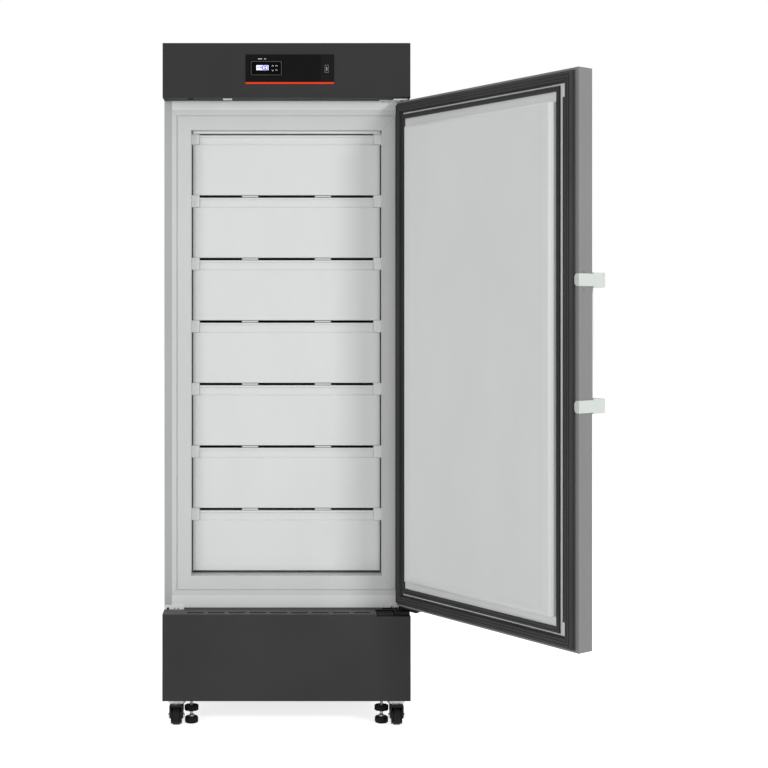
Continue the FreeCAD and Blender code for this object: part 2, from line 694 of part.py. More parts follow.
def make_face_frame():
    # Four mitred lengths round the opening
    inner_x = open_half + liner_wall
    inner_low = opening_bottom - liner_wall
    inner_high = opening_top + liner_wall
    lengths = (
        [(-frame_half, frame_low), (-inner_x, inner_low), (-inner_x, inner_high), (-frame_half, frame_high)],
        [(frame_half, frame_low), (frame_half, frame_high), (inner_x, inner_high), (inner_x, inner_low)],
        [(-frame_half, frame_low), (frame_half, frame_low), (inner_x, inner_low), (-inner_x, inner_low)],
        [(-frame_half, frame_high), (-inner_x, inner_high), (inner_x, inner_high), (frame_half, frame_high)],
    )
    members = []
    for index, corners in enumerate(lengths):
        member = new_body(f"frame_length_{index + 1}")
        prism(member, "XZ", face_y, face_y + front_trim, corners)
        members.append(member)
    group("face_frame", members)


def make_cold_shelves():
    # Evaporator shelves between the drawers, the lowest one on the liner floor
    members = []
    for index in range(drawer_count):
        low = shelf_base + index * drawer_pitch
        half = open_half - shelf_clear
        front = face_y + shelf_setback
        back = liner_back - liner_wall - shelf_clear
        shelf = new_body(f"cold_shelf_{index + 1}")
        prism(shelf, "XY", low, low + shelf_thick, rectangle(-half, half, front, back))
        spacing = (2 * half - 2 * channel_margin) / (channel_count - 1)
        channels = []
        for turn in range(channel_count):
            x = -half + channel_margin + turn * spacing
            channels.append(rectangle(x - channel_width / 2, x + channel_width / 2,
                                      front + channel_margin, back - channel_margin))
        cut(shelf, "XY", low, low + channel_depth, *channels)
        if index:
            tab_low = low + (drawer_gap - tab_thick) / 2
            tabs = []
            for side in (-1, 1):
                x = side * tab_spread / 2
                tabs.append(rectangle(x - tab_width / 2, x + tab_width / 2,
                                      face_y + tab_setback, front + shelf_thick))
            prism(shelf, "XY", tab_low, tab_low + tab_thick, *tabs)
        members.append(shelf)
    group("cold_shelves", members)


def make_drawer_guides():
    # Rails on the liner walls beside each drawer's upper corners
    members = []
    for index in range(drawer_count):
        top = drawer_base + index * drawer_pitch + drawer_height
        for side in (-1, 1):
            wall = side * open_half
            nose = side * (open_half - guide_width)
            left = nose if side > 0 else wall
            right = wall if side > 0 else nose
            rail = new_body(f"guide_{index + 1}_{'left' if side < 0 else 'right'}")
            front = face_y + guide_setback
            prism(rail, "XZ", front, liner_back - liner_wall,
                  rectangle(left, right, top - grip_band + running_gap, top))
            prism(rail, "XZ", front, face_y + shelf_setback - running_gap,
                  rectangle(left, right, top, top + drawer_gap - running_gap))
            soften(rail, guide_round, lambda a, b: runs_along(a, b, "z") and near(a.y, front)
                   and near(abs(a.x), open_half - guide_width))
            members.append(rail)
    group("drawer_guides", members)


def make_drawer(index):
    # One moulded drawer: main face, set back band, rolled lip and open tub
    drawer = new_body(f"drawer_{index + 1}")
    low = drawer_base + (drawer_count - 1 - index) * drawer_pitch
    high = low + drawer_height
    main_top = high - grip_band
    half = drawer_half
    back = drawer_face + front_thick
    tub_half = band_half - drawer_wall
    tub_low = low - drawer_gap + shelf_thick + running_gap
    tub_high = high - tub_clear
    side_front = drawer_face + bevel_depth
    prism(drawer, "XY", low, main_top, [
        (-half, back), (-half, side_front), (-half + bevel_width, drawer_face),
        (half - bevel_width, drawer_face), (half, side_front), (half, back)])
    soften(drawer, face_round, lambda a, b: near(a.y, drawer_face) and near(b.y, drawer_face))
    cut(drawer, "XZ", drawer_face + drawer_wall, back,
        rectangle(-half + drawer_wall, half - drawer_wall, low + drawer_wall, main_top - drawer_wall))
    prism(drawer, "XZ", drawer_face + band_step, back,
          rectangle(-band_half, band_half, main_top - drawer_wall, high))
    prism(drawer, "XZ", drawer_face, drawer_face + band_step,
          rectangle(-band_half, band_half, high - lip_height, high))
    soften(drawer, lip_round, lambda a, b: near(a.y, drawer_face) and near(b.y, drawer_face)
           and runs_along(a, b, "x") and a.z > float(high) - float(lip_height) - 1)
    prism(drawer, "XY", tub_low, tub_high, rectangle(-tub_half, tub_half, back, drawer_back))
    soften(drawer, tub_round, lambda a, b: runs_along(a, b, "z") and near(a.y, drawer_back))
    cut(drawer, "XY", tub_low + drawer_wall, tub_high,
        rectangle(-tub_half + drawer_wall, tub_half - drawer_wall,
                  back + drawer_wall, drawer_back - drawer_wall))
    keep(drawer, f"drawer_{index + 1}")


def make_control_fascia():
    # Front pan of the control box with the cut-outs behind the display panel
    fascia = new_body("control_fascia")
    back = box_front + fascia_depth
    prism(fascia, "XZ", box_front, back, rectangle(-case_half, case_half, case_top, box_top))
    soften(fascia, fascia_round, lambda a, b: near(a.y, box_front) and near(b.y, box_front))
    cut(fascia, "XZ", box_front + sheet_steel, back,
        rectangle(-case_half + sheet_steel, case_half - sheet_steel,
                  case_top + sheet_steel, box_top - sheet_steel))
    cut(fascia, "XZ", box_front, back, controller_hole(), usb_hole())
    keep(fascia, "control_fascia")


def controller_hole():
    x = -controller_x
    z = case_top + controller_z
    half_wide = controller_body_width / 2 + running_gap
    half_high = controller_body_height / 2 + running_gap
    return rectangle(x - half_wide, x + half_wide, z - half_high, z + half_high)


def usb_hole():
    z = case_top + usb_z
    half_wide = usb_hole_width / 2 + usb_shell + running_gap
    half_high = usb_hole_height / 2 + usb_shell + running_gap
    return rectangle(usb_x - half_wide, usb_x + half_wide, z - half_high, z + half_high)


def make_control_housing():
    # Box behind the fascia: top, sides, back and the floor that overhangs the door
    housing = new_body("control_housing")
    front = box_front + fascia_depth
    prism(housing, "XZ", front, rear_y,
          rectangle(-case_half, case_half, case_top, box_top),
          rectangle(-case_half + sheet_steel, case_half - sheet_steel,
                    case_top + sheet_steel, box_top - sheet_steel))
    prism(housing, "XZ", rear_y - sheet_steel, rear_y,
          rectangle(-case_half, case_half, case_top, box_top))
    slot_x = bolt_width / 2 + strike_clear
    slot_y = bolt_depth / 2 + strike_clear
    cut(housing, "XY", case_top, case_top + sheet_steel,
        rectangle(-lock_x - slot_x, -lock_x + slot_x, bolt_centre - slot_y, bolt_centre + slot_y))
    keep(housing, "control_housing")


def make_display_overlay():
    overlay = new_body("display_overlay")
    prism(overlay, "XZ", box_front - panel_thick, box_front,
          rectangle(-panel_left, panel_right, panel_low, panel_low + panel_height),
          controller_hole(), usb_hole())
    soften(overlay, panel_round, lambda a, b: runs_along(a, b, "y")
           and near(a.z, panel_low + panel_height))
    keep(overlay, "display_overlay")


def make_accent_strip():
    strip = new_body("accent_strip")
    prism(strip, "XZ", box_front - panel_thick, box_front,
          rectangle(-panel_left, panel_right, panel_low - accent_height, panel_low))
    soften(strip, accent_round, lambda a, b: runs_along(a, b, "y")
           and near(a.z, panel_low - accent_height))
    keep(strip, "accent_strip")


def make_controller():
    # Bezel and body in one moulding, and the black window with its key holes
    x = -controller_x
    z = case_top + controller_z
    front = box_front - panel_thick - bezel_proud
    case = new_body("controller_case")
    prism(case, "XZ", front, box_front - panel_thick,
          rectangle(x - bezel_width / 2, x + bezel_width / 2,
                    z - bezel_height / 2, z + bezel_height / 2))
    soften(case, bezel_round, lambda a, b: runs_along(a, b, "y"))
    prism(case, "XZ", box_front - panel_thick, box_front + controller_body_depth,
          rectangle(x - controller_body_width / 2, x + controller_body_width / 2,
                    z - controller_body_height / 2, z + controller_body_height / 2))
    window = rectangle(x - window_width / 2, x + window_width / 2,
                       z - window_height / 2, z + window_height / 2)
    cut(case, "XZ", front, front + window_thick, window)
    cut(case, "XZ", front + window_thick, front + window_thick + key_well,
        *key_outlines(button_clear))
    keep(case, "controller_case")
    pane = new_body("controller_window")
    prism(pane, "XZ", front, front + window_thick, window, *key_outlines(button_clear))
    keep(pane, "controller_window")


def key_outlines(margin):
    return [Round(x, z, button_radius + margin) for x, z in key_centres()]


def key_centres():
    z = case_top + controller_z
    centres = []
    for row in (1, -1):
        for column in (-1, 1):
            centres.append((-button_x + column * button_pitch_x / 2, z + row * button_pitch_z / 2))
    return centres


def make_buttons():
    window_face = box_front - panel_thick - bezel_proud
    for index, (x, z) in enumerate(key_centres()):
        key = new_body(f"button_{index + 1}")
        prism(key, "XZ", window_face - button_proud, window_face - button_proud + button_thick,
              Round(x, z, button_radius))
        keep(key, f"button_{index + 1}")


def make_usb_port():
    port = new_body("usb_port")
    z = case_top + usb_z
    plate_face = box_front - panel_thick - usb_plate_thick
    hole = rectangle(usb_x - usb_hole_width / 2, usb_x + usb_hole_width / 2,
                     z - usb_hole_height / 2, z + usb_hole_height / 2)
    shell_x = usb_hole_width / 2 + usb_shell
    shell_z = usb_hole_height / 2 + usb_shell
    prism(port, "XZ", plate_face, box_front - panel_thick,
          rectangle(usb_x - usb_plate_width / 2, usb_x + usb_plate_width / 2,
                    z - usb_plate_height / 2, z + usb_plate_height / 2))
    prism(port, "XZ", box_front - panel_thick, plate_face + usb_depth,
          rectangle(usb_x - shell_x, usb_x + shell_x, z - shell_z, z + shell_z))
    cut(port, "XZ", plate_face, plate_face + usb_depth - usb_shell, hole)
    keep(port, "usb_port")


def make_control_board():
    # Circuit board on standoffs, with its relays and transformer
    board = new_body("control_board")
    low = case_top + sheet_steel
    front = box_front + board_front
    plate_low = low + board_lift
    prism(board, "XY", plate_low, plate_low + board_thick,
          rectangle(-board_width / 2, board_width / 2, front, front + board_length))
    legs = []
    for side in (-1, 1):
        for end in (board_lift, board_length - board_lift):
            legs.append(Round(side * (board_width / 2 - board_lift), front + end, board_lift / 2))
    prism(board, "XY", low, plate_low + board_thick / 2, *legs)
    blocks = []
    for step in range(3):
        left = -board_width / 2 + relay_size / 2 + step * relay_size * 2
        blocks.append(rectangle(left, left + relay_size,
                                front + relay_size, front + 2 * relay_size))
    prism(board, "XY", plate_low + board_thick / 2, plate_low + board_thick + relay_size, *blocks)
    keep(board, "control_board")


def make_door_sensor():
    sensor = new_body("door_sensor")
    back = face_y - sensor_back
    prism(sensor, "XY", case_top - sensor_thick, case_top,
          rectangle(-sensor_x - sensor_width / 2, -sensor_x + sensor_width / 2,
                    back - sensor_length, back))
    soften(sensor, sensor_thick / 4, lambda a, b: near(a.z, case_top - sensor_thick)
           and near(b.z, case_top - sensor_thick))
    keep(sensor, "door_sensor")


def make_base_panel():
    # Kick panel: a pan with an air-slotted ledge and a pocket for the lower hinge
    panel = new_body("base_panel")
    prism(panel, "XZ", base_front, panel_rear,
          rectangle(-case_half, case_half, base_bottom, base_top))
    soften(panel, base_round, lambda a, b: near(a.y, base_front) and near(b.y, base_front))
    cut(panel, "XZ", base_front + base_sheet, panel_rear,
        rectangle(-case_half + base_sheet, case_half - base_sheet,
                  base_bottom + base_sheet, base_top - base_sheet))
    cut(panel, "XY", base_bottom, base_bottom + base_sheet,
        rectangle(-case_half + base_sheet, case_half - base_sheet, base_front + base_lip, panel_rear))
    slots = []
    for index in range(vent_count):
        x = -vent_shift + (index - (vent_count - 1) / 2) * vent_pitch
        y = base_front + vent_setback
        slots.append(rectangle(x - vent_length / 2, x + vent_length / 2,
                               y - vent_width / 2, y + vent_width / 2))
    cut(panel, "XY", base_top - base_sheet, base_top, *slots)
    pocket_rear = face_y - pocket_stop
    well_front = base_front + pocket_shelf
    cut(panel, "XY", pocket_floor, base_top,
        rectangle(pocket_left, case_half, base_front, pocket_rear))
    prism(panel, "XY", pocket_floor - base_sheet, pocket_floor, [
        (pocket_left, base_front + base_sheet / 2), (case_half - base_sheet / 2, base_front + base_sheet / 2),
        (case_half - base_sheet / 2, pocket_rear), (pocket_left + pocket_well, pocket_rear),
        (pocket_left + pocket_well, well_front), (pocket_left, well_front)])
    cut(panel, "XY", base_top - base_sheet, base_top,
        rectangle(-case_half + base_sheet, -case_half + spare_width + running_gap,
                  face_y - spare_thick - running_gap, panel_rear))
    keep(panel, "base_panel")


def make_base_chassis():
    # Floor, side walls and louvred rear wall of the machine space, with nuts for the feet
    chassis = new_body("base_chassis")
    inner = case_half - base_sheet
    prism(chassis, "XY", base_bottom, floor_top,
          rectangle(-inner, inner, base_front + base_lip, rear_y))
    for left, right in ((-case_half, -inner), (inner, case_half)):
        prism(chassis, "XY", base_bottom, case_bottom, rectangle(left, right, panel_rear, rear_y))
    prism(chassis, "XZ", rear_y - base_sheet, rear_y,
          rectangle(-inner, inner, base_bottom, case_bottom))
    nuts = [Round(side * foot_x, -foot_y, nut_radius) for side in (-1, 1)]
    bores = [Round(side * foot_x, -foot_y, stem_radius + running_gap) for side in (-1, 1)]
    prism(chassis, "XY", floor_top, floor_top + nut_height, *nuts)
    cut(chassis, "XY", base_bottom, floor_top + nut_height, *bores)
    middle = (floor_top + case_bottom) / 2
    slots = []
    for index in range(louvre_count):
        x = (index - (louvre_count - 1) / 2) * louvre_pitch
        slots.append(rectangle(x - louvre_width / 2, x + louvre_width / 2,
                               middle - louvre_height / 2 + gland_length,
                               middle + louvre_height / 2 + gland_length))
    cut(chassis, "XZ", rear_y - base_sheet, rear_y, *slots)
    keep(chassis, "base_chassis")


def make_compressor():
    # Hermetic shell with its welded seam, standing on a foot plate
    body = new_body("compressor")
    plate = floor_top + compressor_foot
    low = foot_plate_thick
    high = low + compressor_height
    shoulder = compressor_radius / 2
    middle = (low + high) / 2
    turned(body, "XZ", "V_Axis", [
        (0, 0), (shoulder, 0), (compressor_radius, shoulder / 2),
        (compressor_radius, middle - shell_seam),
        (compressor_radius + shell_seam, middle - shell_seam),
        (compressor_radius + shell_seam, middle),
        (compressor_radius, middle), (compressor_radius, high - shoulder),
        (shoulder, high), (0, high)])
    prism(body, "XY", 0, foot_plate_thick,
          rectangle(-compressor_radius, compressor_radius, -compressor_radius, compressor_radius))
    corner = compressor_radius - compressor_foot
    feet = [Round(a * corner, b * corner, compressor_foot * 0.8) for a in (-1, 1) for b in (-1, 1)]
    prism(body, "XY", -compressor_foot, 0, *feet)
    place(body, compressor_x, compressor_y, plate)
    keep(body, "compressor")


def make_condenser():
    # Tube bundle through upright fins, standing on the base floor
    coil = new_body("condenser")
    front = face_y + condenser_front
    left = -condenser_width / 2
    spacing = (condenser_width - fin_thick) / (fin_count - 1)
    fins = []
    for index in range(fin_count):
        x = left + index * spacing
        fins.append(rectangle(x, x + fin_thick, floor_top, floor_top + condenser_height))
    prism(coil, "XZ", front, front + condenser_depth, *fins)
    rise = condenser_height / tube_rows
    tubes = []
    for row in range(tube_rows):
        for column in (0.3, 0.7):
            tubes.append(Round(front + condenser_depth * column,
                               floor_top + rise * (row + 0.5), tube_radius))
    prism(coil, "YZ", left, -left, *tubes)
    keep(coil, "condenser")


def fan_level():
    return floor_top + shroud_size / 2


def make_fan():
    # Shroud with the motor on three arms, and the rotor on the motor's shaft
    shroud = new_body("fan_shroud")
    front = face_y + condenser_front + condenser_depth + shroud_gap
    half = shroud_size / 2
    z = fan_level()
    arms_back = front + shroud_thick
    arms_front = arms_back - arm_thick
    prism(shroud, "XZ", front, arms_back,
          rectangle(-fan_x - half, -fan_x + half, z - half, z + half), Round(-fan_x, z, fan_hole))
    prism(shroud, "XZ", arms_front, arms_back,
          rectangle(-fan_x - half, -fan_x + half, z - arm_width / 2, z + arm_width / 2))
    prism(shroud, "XZ", arms_front, arms_front + motor_length, Round(-fan_x, z, motor_radius))
    prism(shroud, "XZ", arms_front - shaft_length, arms_front, Round(-fan_x, z, shaft_radius))
    for side in (-1, 1):
        # Two side flanges reach back so that the shroud stands on the floor by itself
        edge = -fan_x + side * half
        left = edge if side < 0 else edge - base_sheet
        prism(shroud, "XZ", arms_back, arms_back + motor_length,
              rectangle(left, left + base_sheet, z - half, z + half))
    keep(shroud, "fan_shroud")

    rotor = new_body("fan_rotor")
    prism(rotor, "XZ", -hub_length / 2, hub_length / 2, Round(0, 0, hub_radius))
    pitch = Size("35", 35)
    half_chord = blade_chord / 2
    root = blade_section(half_chord * 0.55, pitch)
    tip = blade_section(half_chord, pitch * 0.6)
    blade = rotor.newObject("PartDesign::AdditiveLoft", "fan_blade")
    blade.Profile = sketch_on(rotor, "XY", hub_radius * 0.8, [root])
    blade.Sections = [sketch_on(rotor, "XY", blade_tip, [tip])]
    doc.recompute()
    spread = rotor.newObject("PartDesign::PolarPattern", "fan_blades")
    spread.Originals = [blade]
    y_axis = [f for f in rotor.Origin.OriginFeatures if f.Role == "Y_Axis"][0]
    spread.Axis = (y_axis, [""])
    spread.Angle = 360
    spread.Occurrences = blade_count
    rotor.Tip = spread
    cut(rotor, "XZ", -hub_length / 2, hub_length / 2, Round(0, 0, shaft_radius + shaft_clear))
    place(rotor, -fan_x, arms_front - running_gap - hub_length / 2, z)
    keep(rotor, "fan_rotor")


def blade_section(half_chord, pitch):
    # Slanted rectangle across the fan's axis
    along_x = half_chord * cosine(pitch)
    along_y = half_chord * sine(pitch)
    off_x = blade_thick / 2 * sine(pitch)
    off_y = blade_thick / 2 * cosine(pitch)
    return [(-along_x + off_x, -along_y - off_y), (along_x + off_x, along_y - off_y),
            (along_x - off_x, along_y + off_y), (-along_x - off_x, -along_y + off_y)]


def make_cord_gland():
    # Strain relief boss on the rear wall, with the bore that a mains lead leaves by
    gland = new_body("cord_gland")
    nose = gland_length
    turned(gland, "XY", "V_Axis", [
        (gland_bore, nose - gland_bore_length), (gland_bore, nose),
        (gland_radius * 0.6, nose), (gland_radius * 0.8, nose / 2),
        (gland_radius, nose * 0.3), (gland_radius, 0), (0, 0), (0, nose - gland_bore_length)])
    place(gland, gland_x, rear_y, gland_z)
    keep(gland, "cord_gland")


def make_upper_hinge():
    # Plate under the control box with the pin that hangs into the door's top
    hinge = new_body("upper_hinge")
    low = case_top - upper_plate
    fixed_front = face_y - hinge_seat
    arm_front = pivot_level - arm_edge
    prism(hinge, "XY", low, case_top, [
        (upper_left, face_y - running_gap), (upper_left, fixed_front), (arm_left, fixed_front),
        (arm_left, arm_front), (pivot_x + arm_edge, arm_front),
        (pivot_x + arm_edge, face_y - running_gap)])
    soften(hinge, arm_edge / 2, lambda a, b: runs_along(a, b, "z") and near(a.y, arm_front))
    prism(hinge, "XY", low - upper_pin, low, Round(pivot_x, pivot_level, pin_radius))
    keep(hinge, "upper_hinge")


def make_lower_hinge():
    # Plate under the cabinet's edge with a nose, a boss and the pin the door stands on
    hinge = new_body("lower_hinge")
    low = case_bottom - lower_plate
    front = face_y - lower_front
    right = case_half - base_sheet - running_gap
    prism(hinge, "XY", low, case_bottom, rectangle(arm_left, right, front, face_y + lower_tail))
    prism(hinge, "XY", pocket_floor, low,
          rectangle(arm_left, right, front, front + lower_nose_depth))
    soften(hinge, lower_plate / 2, lambda a, b: runs_along(a, b, "z") and near(a.y, front))
    boss_top = door_bottom - pivot_arm_thick - running_gap
    prism(hinge, "XY", case_bottom, boss_top, Round(pivot_x, pivot_level, boss_radius))
    prism(hinge, "XY", boss_top, boss_top + lower_pin, Round(pivot_x, pivot_level, pin_radius))
    keep(hinge, "lower_hinge")


def make_corner_bracket():
    # Spare hinge seat on the cabinet's lower left corner
    spare = new_body("corner_bracket")
    holes = [Round(-spare_hole_x, spare_hole_z, spare_hole)]
    for step in (2, 3):
        x = -spare_hole_x + step * spare_hole * 2.8
        holes.append(Round(x, spare_hole_z, spare_small_hole))
    prism(spare, "XZ", face_y - spare_thick, face_y,
          rectangle(-case_half + base_sheet + running_gap, -case_half + spare_width,
                    spare_low, spare_high), *holes)
    keep(spare, "corner_bracket")


def door_frame(side, top, bottom):
    # Rectangle on the closed door, inset from its sides, top and bottom
    return rectangle(-door_half + side, door_half - side, door_bottom + bottom, door_top - top)


def even_frame(inset):
    return door_frame(inset, inset, inset)


def make_door_skin():
    # Folded steel pan with the narrow return that shows on the inner side
    skin = new_body("door_skin")
    prism(skin, "XZ", door_face, door_inner, even_frame(as_size(0)))
    soften(skin, door_round, lambda a, b: near(a.y, door_face) and near(b.y, door_face))
    cut(skin, "XZ", door_face + sheet_steel, door_inner - liner_plate, even_frame(sheet_steel))
    cut(skin, "XZ", door_inner - liner_plate, door_inner, even_frame(skin_return))
    hole = bush_radius + running_gap
    cut(skin, "XY", door_top - sheet_steel, door_top, Round(pivot_x, pivot_level, hole), bolt_hole())
    cut(skin, "XY", door_bottom, door_bottom + sheet_steel, Round(pivot_x, pivot_level, hole))
    cut(skin, "XZ", door_face, door_face + sheet_steel,
        Round(-lock_x, lock_z, lock_radius + running_gap))
    swing_open(skin)
    keep(skin, "door_skin")


def bolt_hole():
    half_x = bolt_width / 2 + running_gap
    half_y = bolt_depth / 2 + running_gap
    return rectangle(-lock_x - half_x, -lock_x + half_x, bolt_centre - half_y, bolt_centre + half_y)


def make_door_core():
    # Foam inside the pan and inside the liner's raised field
    core = new_body("door_core")
    front = door_face + sheet_steel
    back = door_inner - liner_plate
    prism(core, "XZ", front, back, even_frame(sheet_steel))
    prism(core, "XZ", back, door_inner + plateau_height - liner_plate - dish_depth, plateau_hollow())
    hole = bush_radius + running_gap
    cut(core, "XY", door_top - bush_length, door_top, Round(pivot_x, pivot_level, hole))
    cut(core, "XY", door_bottom, door_bottom + lower_pin + bush_length / 2,
        Round(pivot_x, pivot_level, hole))
    cut(core, "XY", door_top - bolt_below - bolt_length - running_gap, door_top, bolt_hole())
    cut(core, "XZ", front, door_face - lock_proud + lock_length + running_gap,
        Round(-lock_x, lock_z, lock_radius + running_gap))
    swing_open(core)
    keep(core, "door_core")


def plateau_hollow():
    side = plateau_side + bevel_side + liner_plate
    top = plateau_top + bevel_end + liner_plate
    bottom = plateau_bottom + bevel_end + liner_plate
    return door_frame(side, top, bottom)


def make_door_liner():
    # Plate with a raised field, bevelled all round and dished in the middle
    liner = new_body("door_liner")
    back = door_inner - liner_plate
    prism(liner, "XZ", back, door_inner, even_frame(skin_return))
    foot = door_frame(plateau_side, plateau_top, plateau_bottom)
    crown = door_frame(plateau_side + bevel_side, plateau_top + bevel_end, plateau_bottom + bevel_end)
    rise = liner.newObject("PartDesign::AdditiveLoft", "raised_field")
    rise.Profile = sketch_on(liner, "XZ", door_inner, [foot])
    rise.Sections = [sketch_on(liner, "XZ", door_inner + plateau_height, [crown])]
    doc.recompute()
    cut(liner, "XZ", back, door_inner + plateau_height - liner_plate - dish_depth, plateau_hollow())
    side = plateau_side + bevel_side + dish_side
    top = plateau_top + bevel_end + dish_side
    bottom = plateau_bottom + bevel_end + dish_side
    crown_level = door_inner + plateau_height
    cut(liner, "XZ", crown_level - dish_depth, crown_level, door_frame(side, top, bottom))
    soften(liner, dish_depth * 0.8, lambda a, b: near(a.y, crown_level) and near(b.y, crown_level)
           and abs(a.x) < float(door_half - side) + 1, "PartDesign::Chamfer")
    swing_open(liner)
    keep(liner, "door_liner")


def make_door_gaskets():
    # Outer magnet gasket with an inner lip cut back at its corners, and the inner gasket
    outer = new_body("outer_gasket")
    foot_end = gasket_inset + gasket_base
    foot_back = door_inner + gasket_foot
    prism(outer, "XZ", door_inner, foot_back, even_frame(gasket_inset), even_frame(foot_end))
    bulb_end = door_inner + bulb_height
    prism(outer, "XZ", foot_back, bulb_end, even_frame(bulb_inset), even_frame(bulb_inset + bulb_width))
    soften(outer, bulb_round, lambda a, b: near(a.y, bulb_end) and near(b.y, bulb_end))
    lip_end = foot_end + lip_width
    prism(outer, "XZ", door_inner, door_inner + lip_thick, even_frame(foot_end), even_frame(lip_end))
    corners = []
    for side in (-1, 1):
        for low in (True, False):
            x = side * (door_half - foot_end)
            x_in = x - side * lip_cut
            z = door_bottom + foot_end if low else door_top - foot_end
            z_in = z + lip_cut if low else z - lip_cut
            left, right = (x, x_in) if side < 0 else (x_in, x)
            bottom, top = (z, z_in) if low else (z_in, z)
            corners.append(rectangle(left, right, bottom, top))
    cut(outer, "XZ", door_inner, door_inner + lip_thick, *corners)
    inner = new_body("inner_gasket")
    second = door_frame(second_inset, second_end, second_end)
    second_in = door_frame(second_inset + second_width, second_end + second_width,
                           second_end + second_width)
    second_back = door_inner + second_height
    prism(inner, "XZ", door_inner, second_back, second, second_in)
    soften(inner, second_round, lambda a, b: near(a.y, second_back) and near(b.y, second_back))
    swing_open(group("door_gaskets", [outer, inner]))


def make_door_bushes():
    # Nylon bushes for both pins; the lower one carries the black pivot arm
    bore = Round(pivot_x, pivot_level, pin_radius + pin_clear)
    sleeve = Round(pivot_x, pivot_level, bush_radius)
    upper = new_body("upper_bush")
    prism(upper, "XY", door_top - bush_length, case_top - upper_plate - running_gap, sleeve, bore)
    lower = new_body("lower_bush")
    arm_low = door_bottom - pivot_arm_thick
    half = pivot_arm_width
    prism(lower, "XY", arm_low, door_bottom,
          rectangle(pivot_x - pivot_arm, door_half, pivot_level - half, pivot_level + half / 2))
    soften(lower, half * 0.6, lambda a, b: runs_along(a, b, "z")
           and near(a.x, pivot_x - pivot_arm))
    prism(lower, "XY", door_bottom, door_bottom + lower_pin, sleeve)
    cut(lower, "XY", arm_low, door_bottom + lower_pin, bore)
    swing_open(group("door_bushes", [upper, lower]))


def make_handle():
    # Two brackets that wrap round the door's free edge, and the grip bar between them
    left = -door_half
    brackets = []
    for middle in (handle_low, handle_high):
        bracket = new_body(f"handle_bracket_{len(brackets) + 1}")
        low = middle - strap_height / 2
        high = middle + strap_height / 2
        prism(bracket, "XY", low, high, [
            (left - strap_thick, door_face), (left, door_face), (left, door_inner),
            (left + strap_tab, door_inner), (left + strap_tab, door_inner + strap_thick),
            (left - strap_thick, door_inner + strap_thick)])
        soften(bracket, strap_height * 0.3, lambda a, b: runs_along(a, b, "y")
               and near(a.x, left + strap_tab))
        prism(bracket, "XY", middle - block_height / 2, middle + block_height / 2,
              rectangle(left - strap_thick, left - strap_thick + block_width, bar_front, door_face))
        soften(bracket, block_round, lambda a, b: near(a.y, bar_front) and near(b.y, bar_front))
        brackets.append(bracket)
    swing_open(group("handle_brackets", brackets))
    bar = new_body("handle_bar")
    prism(bar, "XY", handle_low + block_height / 2, handle_high - block_height / 2,
          rectangle(bar_left, bar_left + bar_width, bar_front, bar_front + bar_thick))
    soften(bar, bar_round, lambda a, b: runs_along(a, b, "z"))
    swing_open(bar)
    keep(bar, "handle_bar")


def make_lock():
    # Key barrel in the door's face and the bolt that it lifts out of the door's top
    barrel = new_body("lock_barrel")
    front = door_face - lock_proud
    prism(barrel, "XZ", front, front + lock_length, Round(-lock_x, lock_z, lock_radius))
    cut(barrel, "XZ", front, front + lock_proud,
        rectangle(-lock_x - key_slot / 2, -lock_x + key_slot / 2,
                  lock_z - lock_radius / 2, lock_z + lock_radius / 2))
    swing_open(barrel)
    keep(barrel, "lock_barrel")
    bolt = new_body("lock_bolt")
    high = door_top - bolt_below
    prism(bolt, "XY", high - bolt_length, high,
          rectangle(-lock_x - bolt_width / 2, -lock_x + bolt_width / 2,
                    bolt_centre - bolt_depth / 2, bolt_centre + bolt_depth / 2))
    soften(bolt, bolt_width / 5, lambda a, b: near(a.z, high) and near(b.z, high)
           and runs_along(a, b, "y"), "PartDesign::Chamfer")
    swing_open(bolt)
    keep(bolt, "lock_bolt")


def caster_places():
    return [(-caster_x, -caster_front), (caster_x, -caster_front),
            (-caster_x, caster_rear), (caster_x, caster_rear)]


def make_casters():
    # Swivel casters: fixed plates with ball races, forks with axles, and wheels
    race_low = base_bottom - caster_plate_thick - race_height
    plates = []
    for index, (x, y) in enumerate(caster_places()):
        plate = new_body(f"caster_plate_{index + 1}")
        half_x = caster_plate_width / 2
        half_y = caster_plate_length / 2
        prism(plate, "XY", base_bottom - caster_plate_thick, base_bottom,
              rectangle(-half_x, half_x, -half_y, half_y))
        prism(plate, "XY", race_low, base_bottom - caster_plate_thick, Round(0, 0, race_radius))
        head_top = race_low - fork_cap - 2 * running_gap
        prism(plate, "XY", head_top, race_low, Round(0, 0, kingpin_radius))
        prism(plate, "XY", head_top - caster_plate_thick, head_top, Round(0, 0, kingpin_head))
        place(plate, x, y, 0)
        plates.append(plate)
        make_fork(index, x, y, race_low)
        make_wheel(index, x, y)
    group("caster_plates", plates)


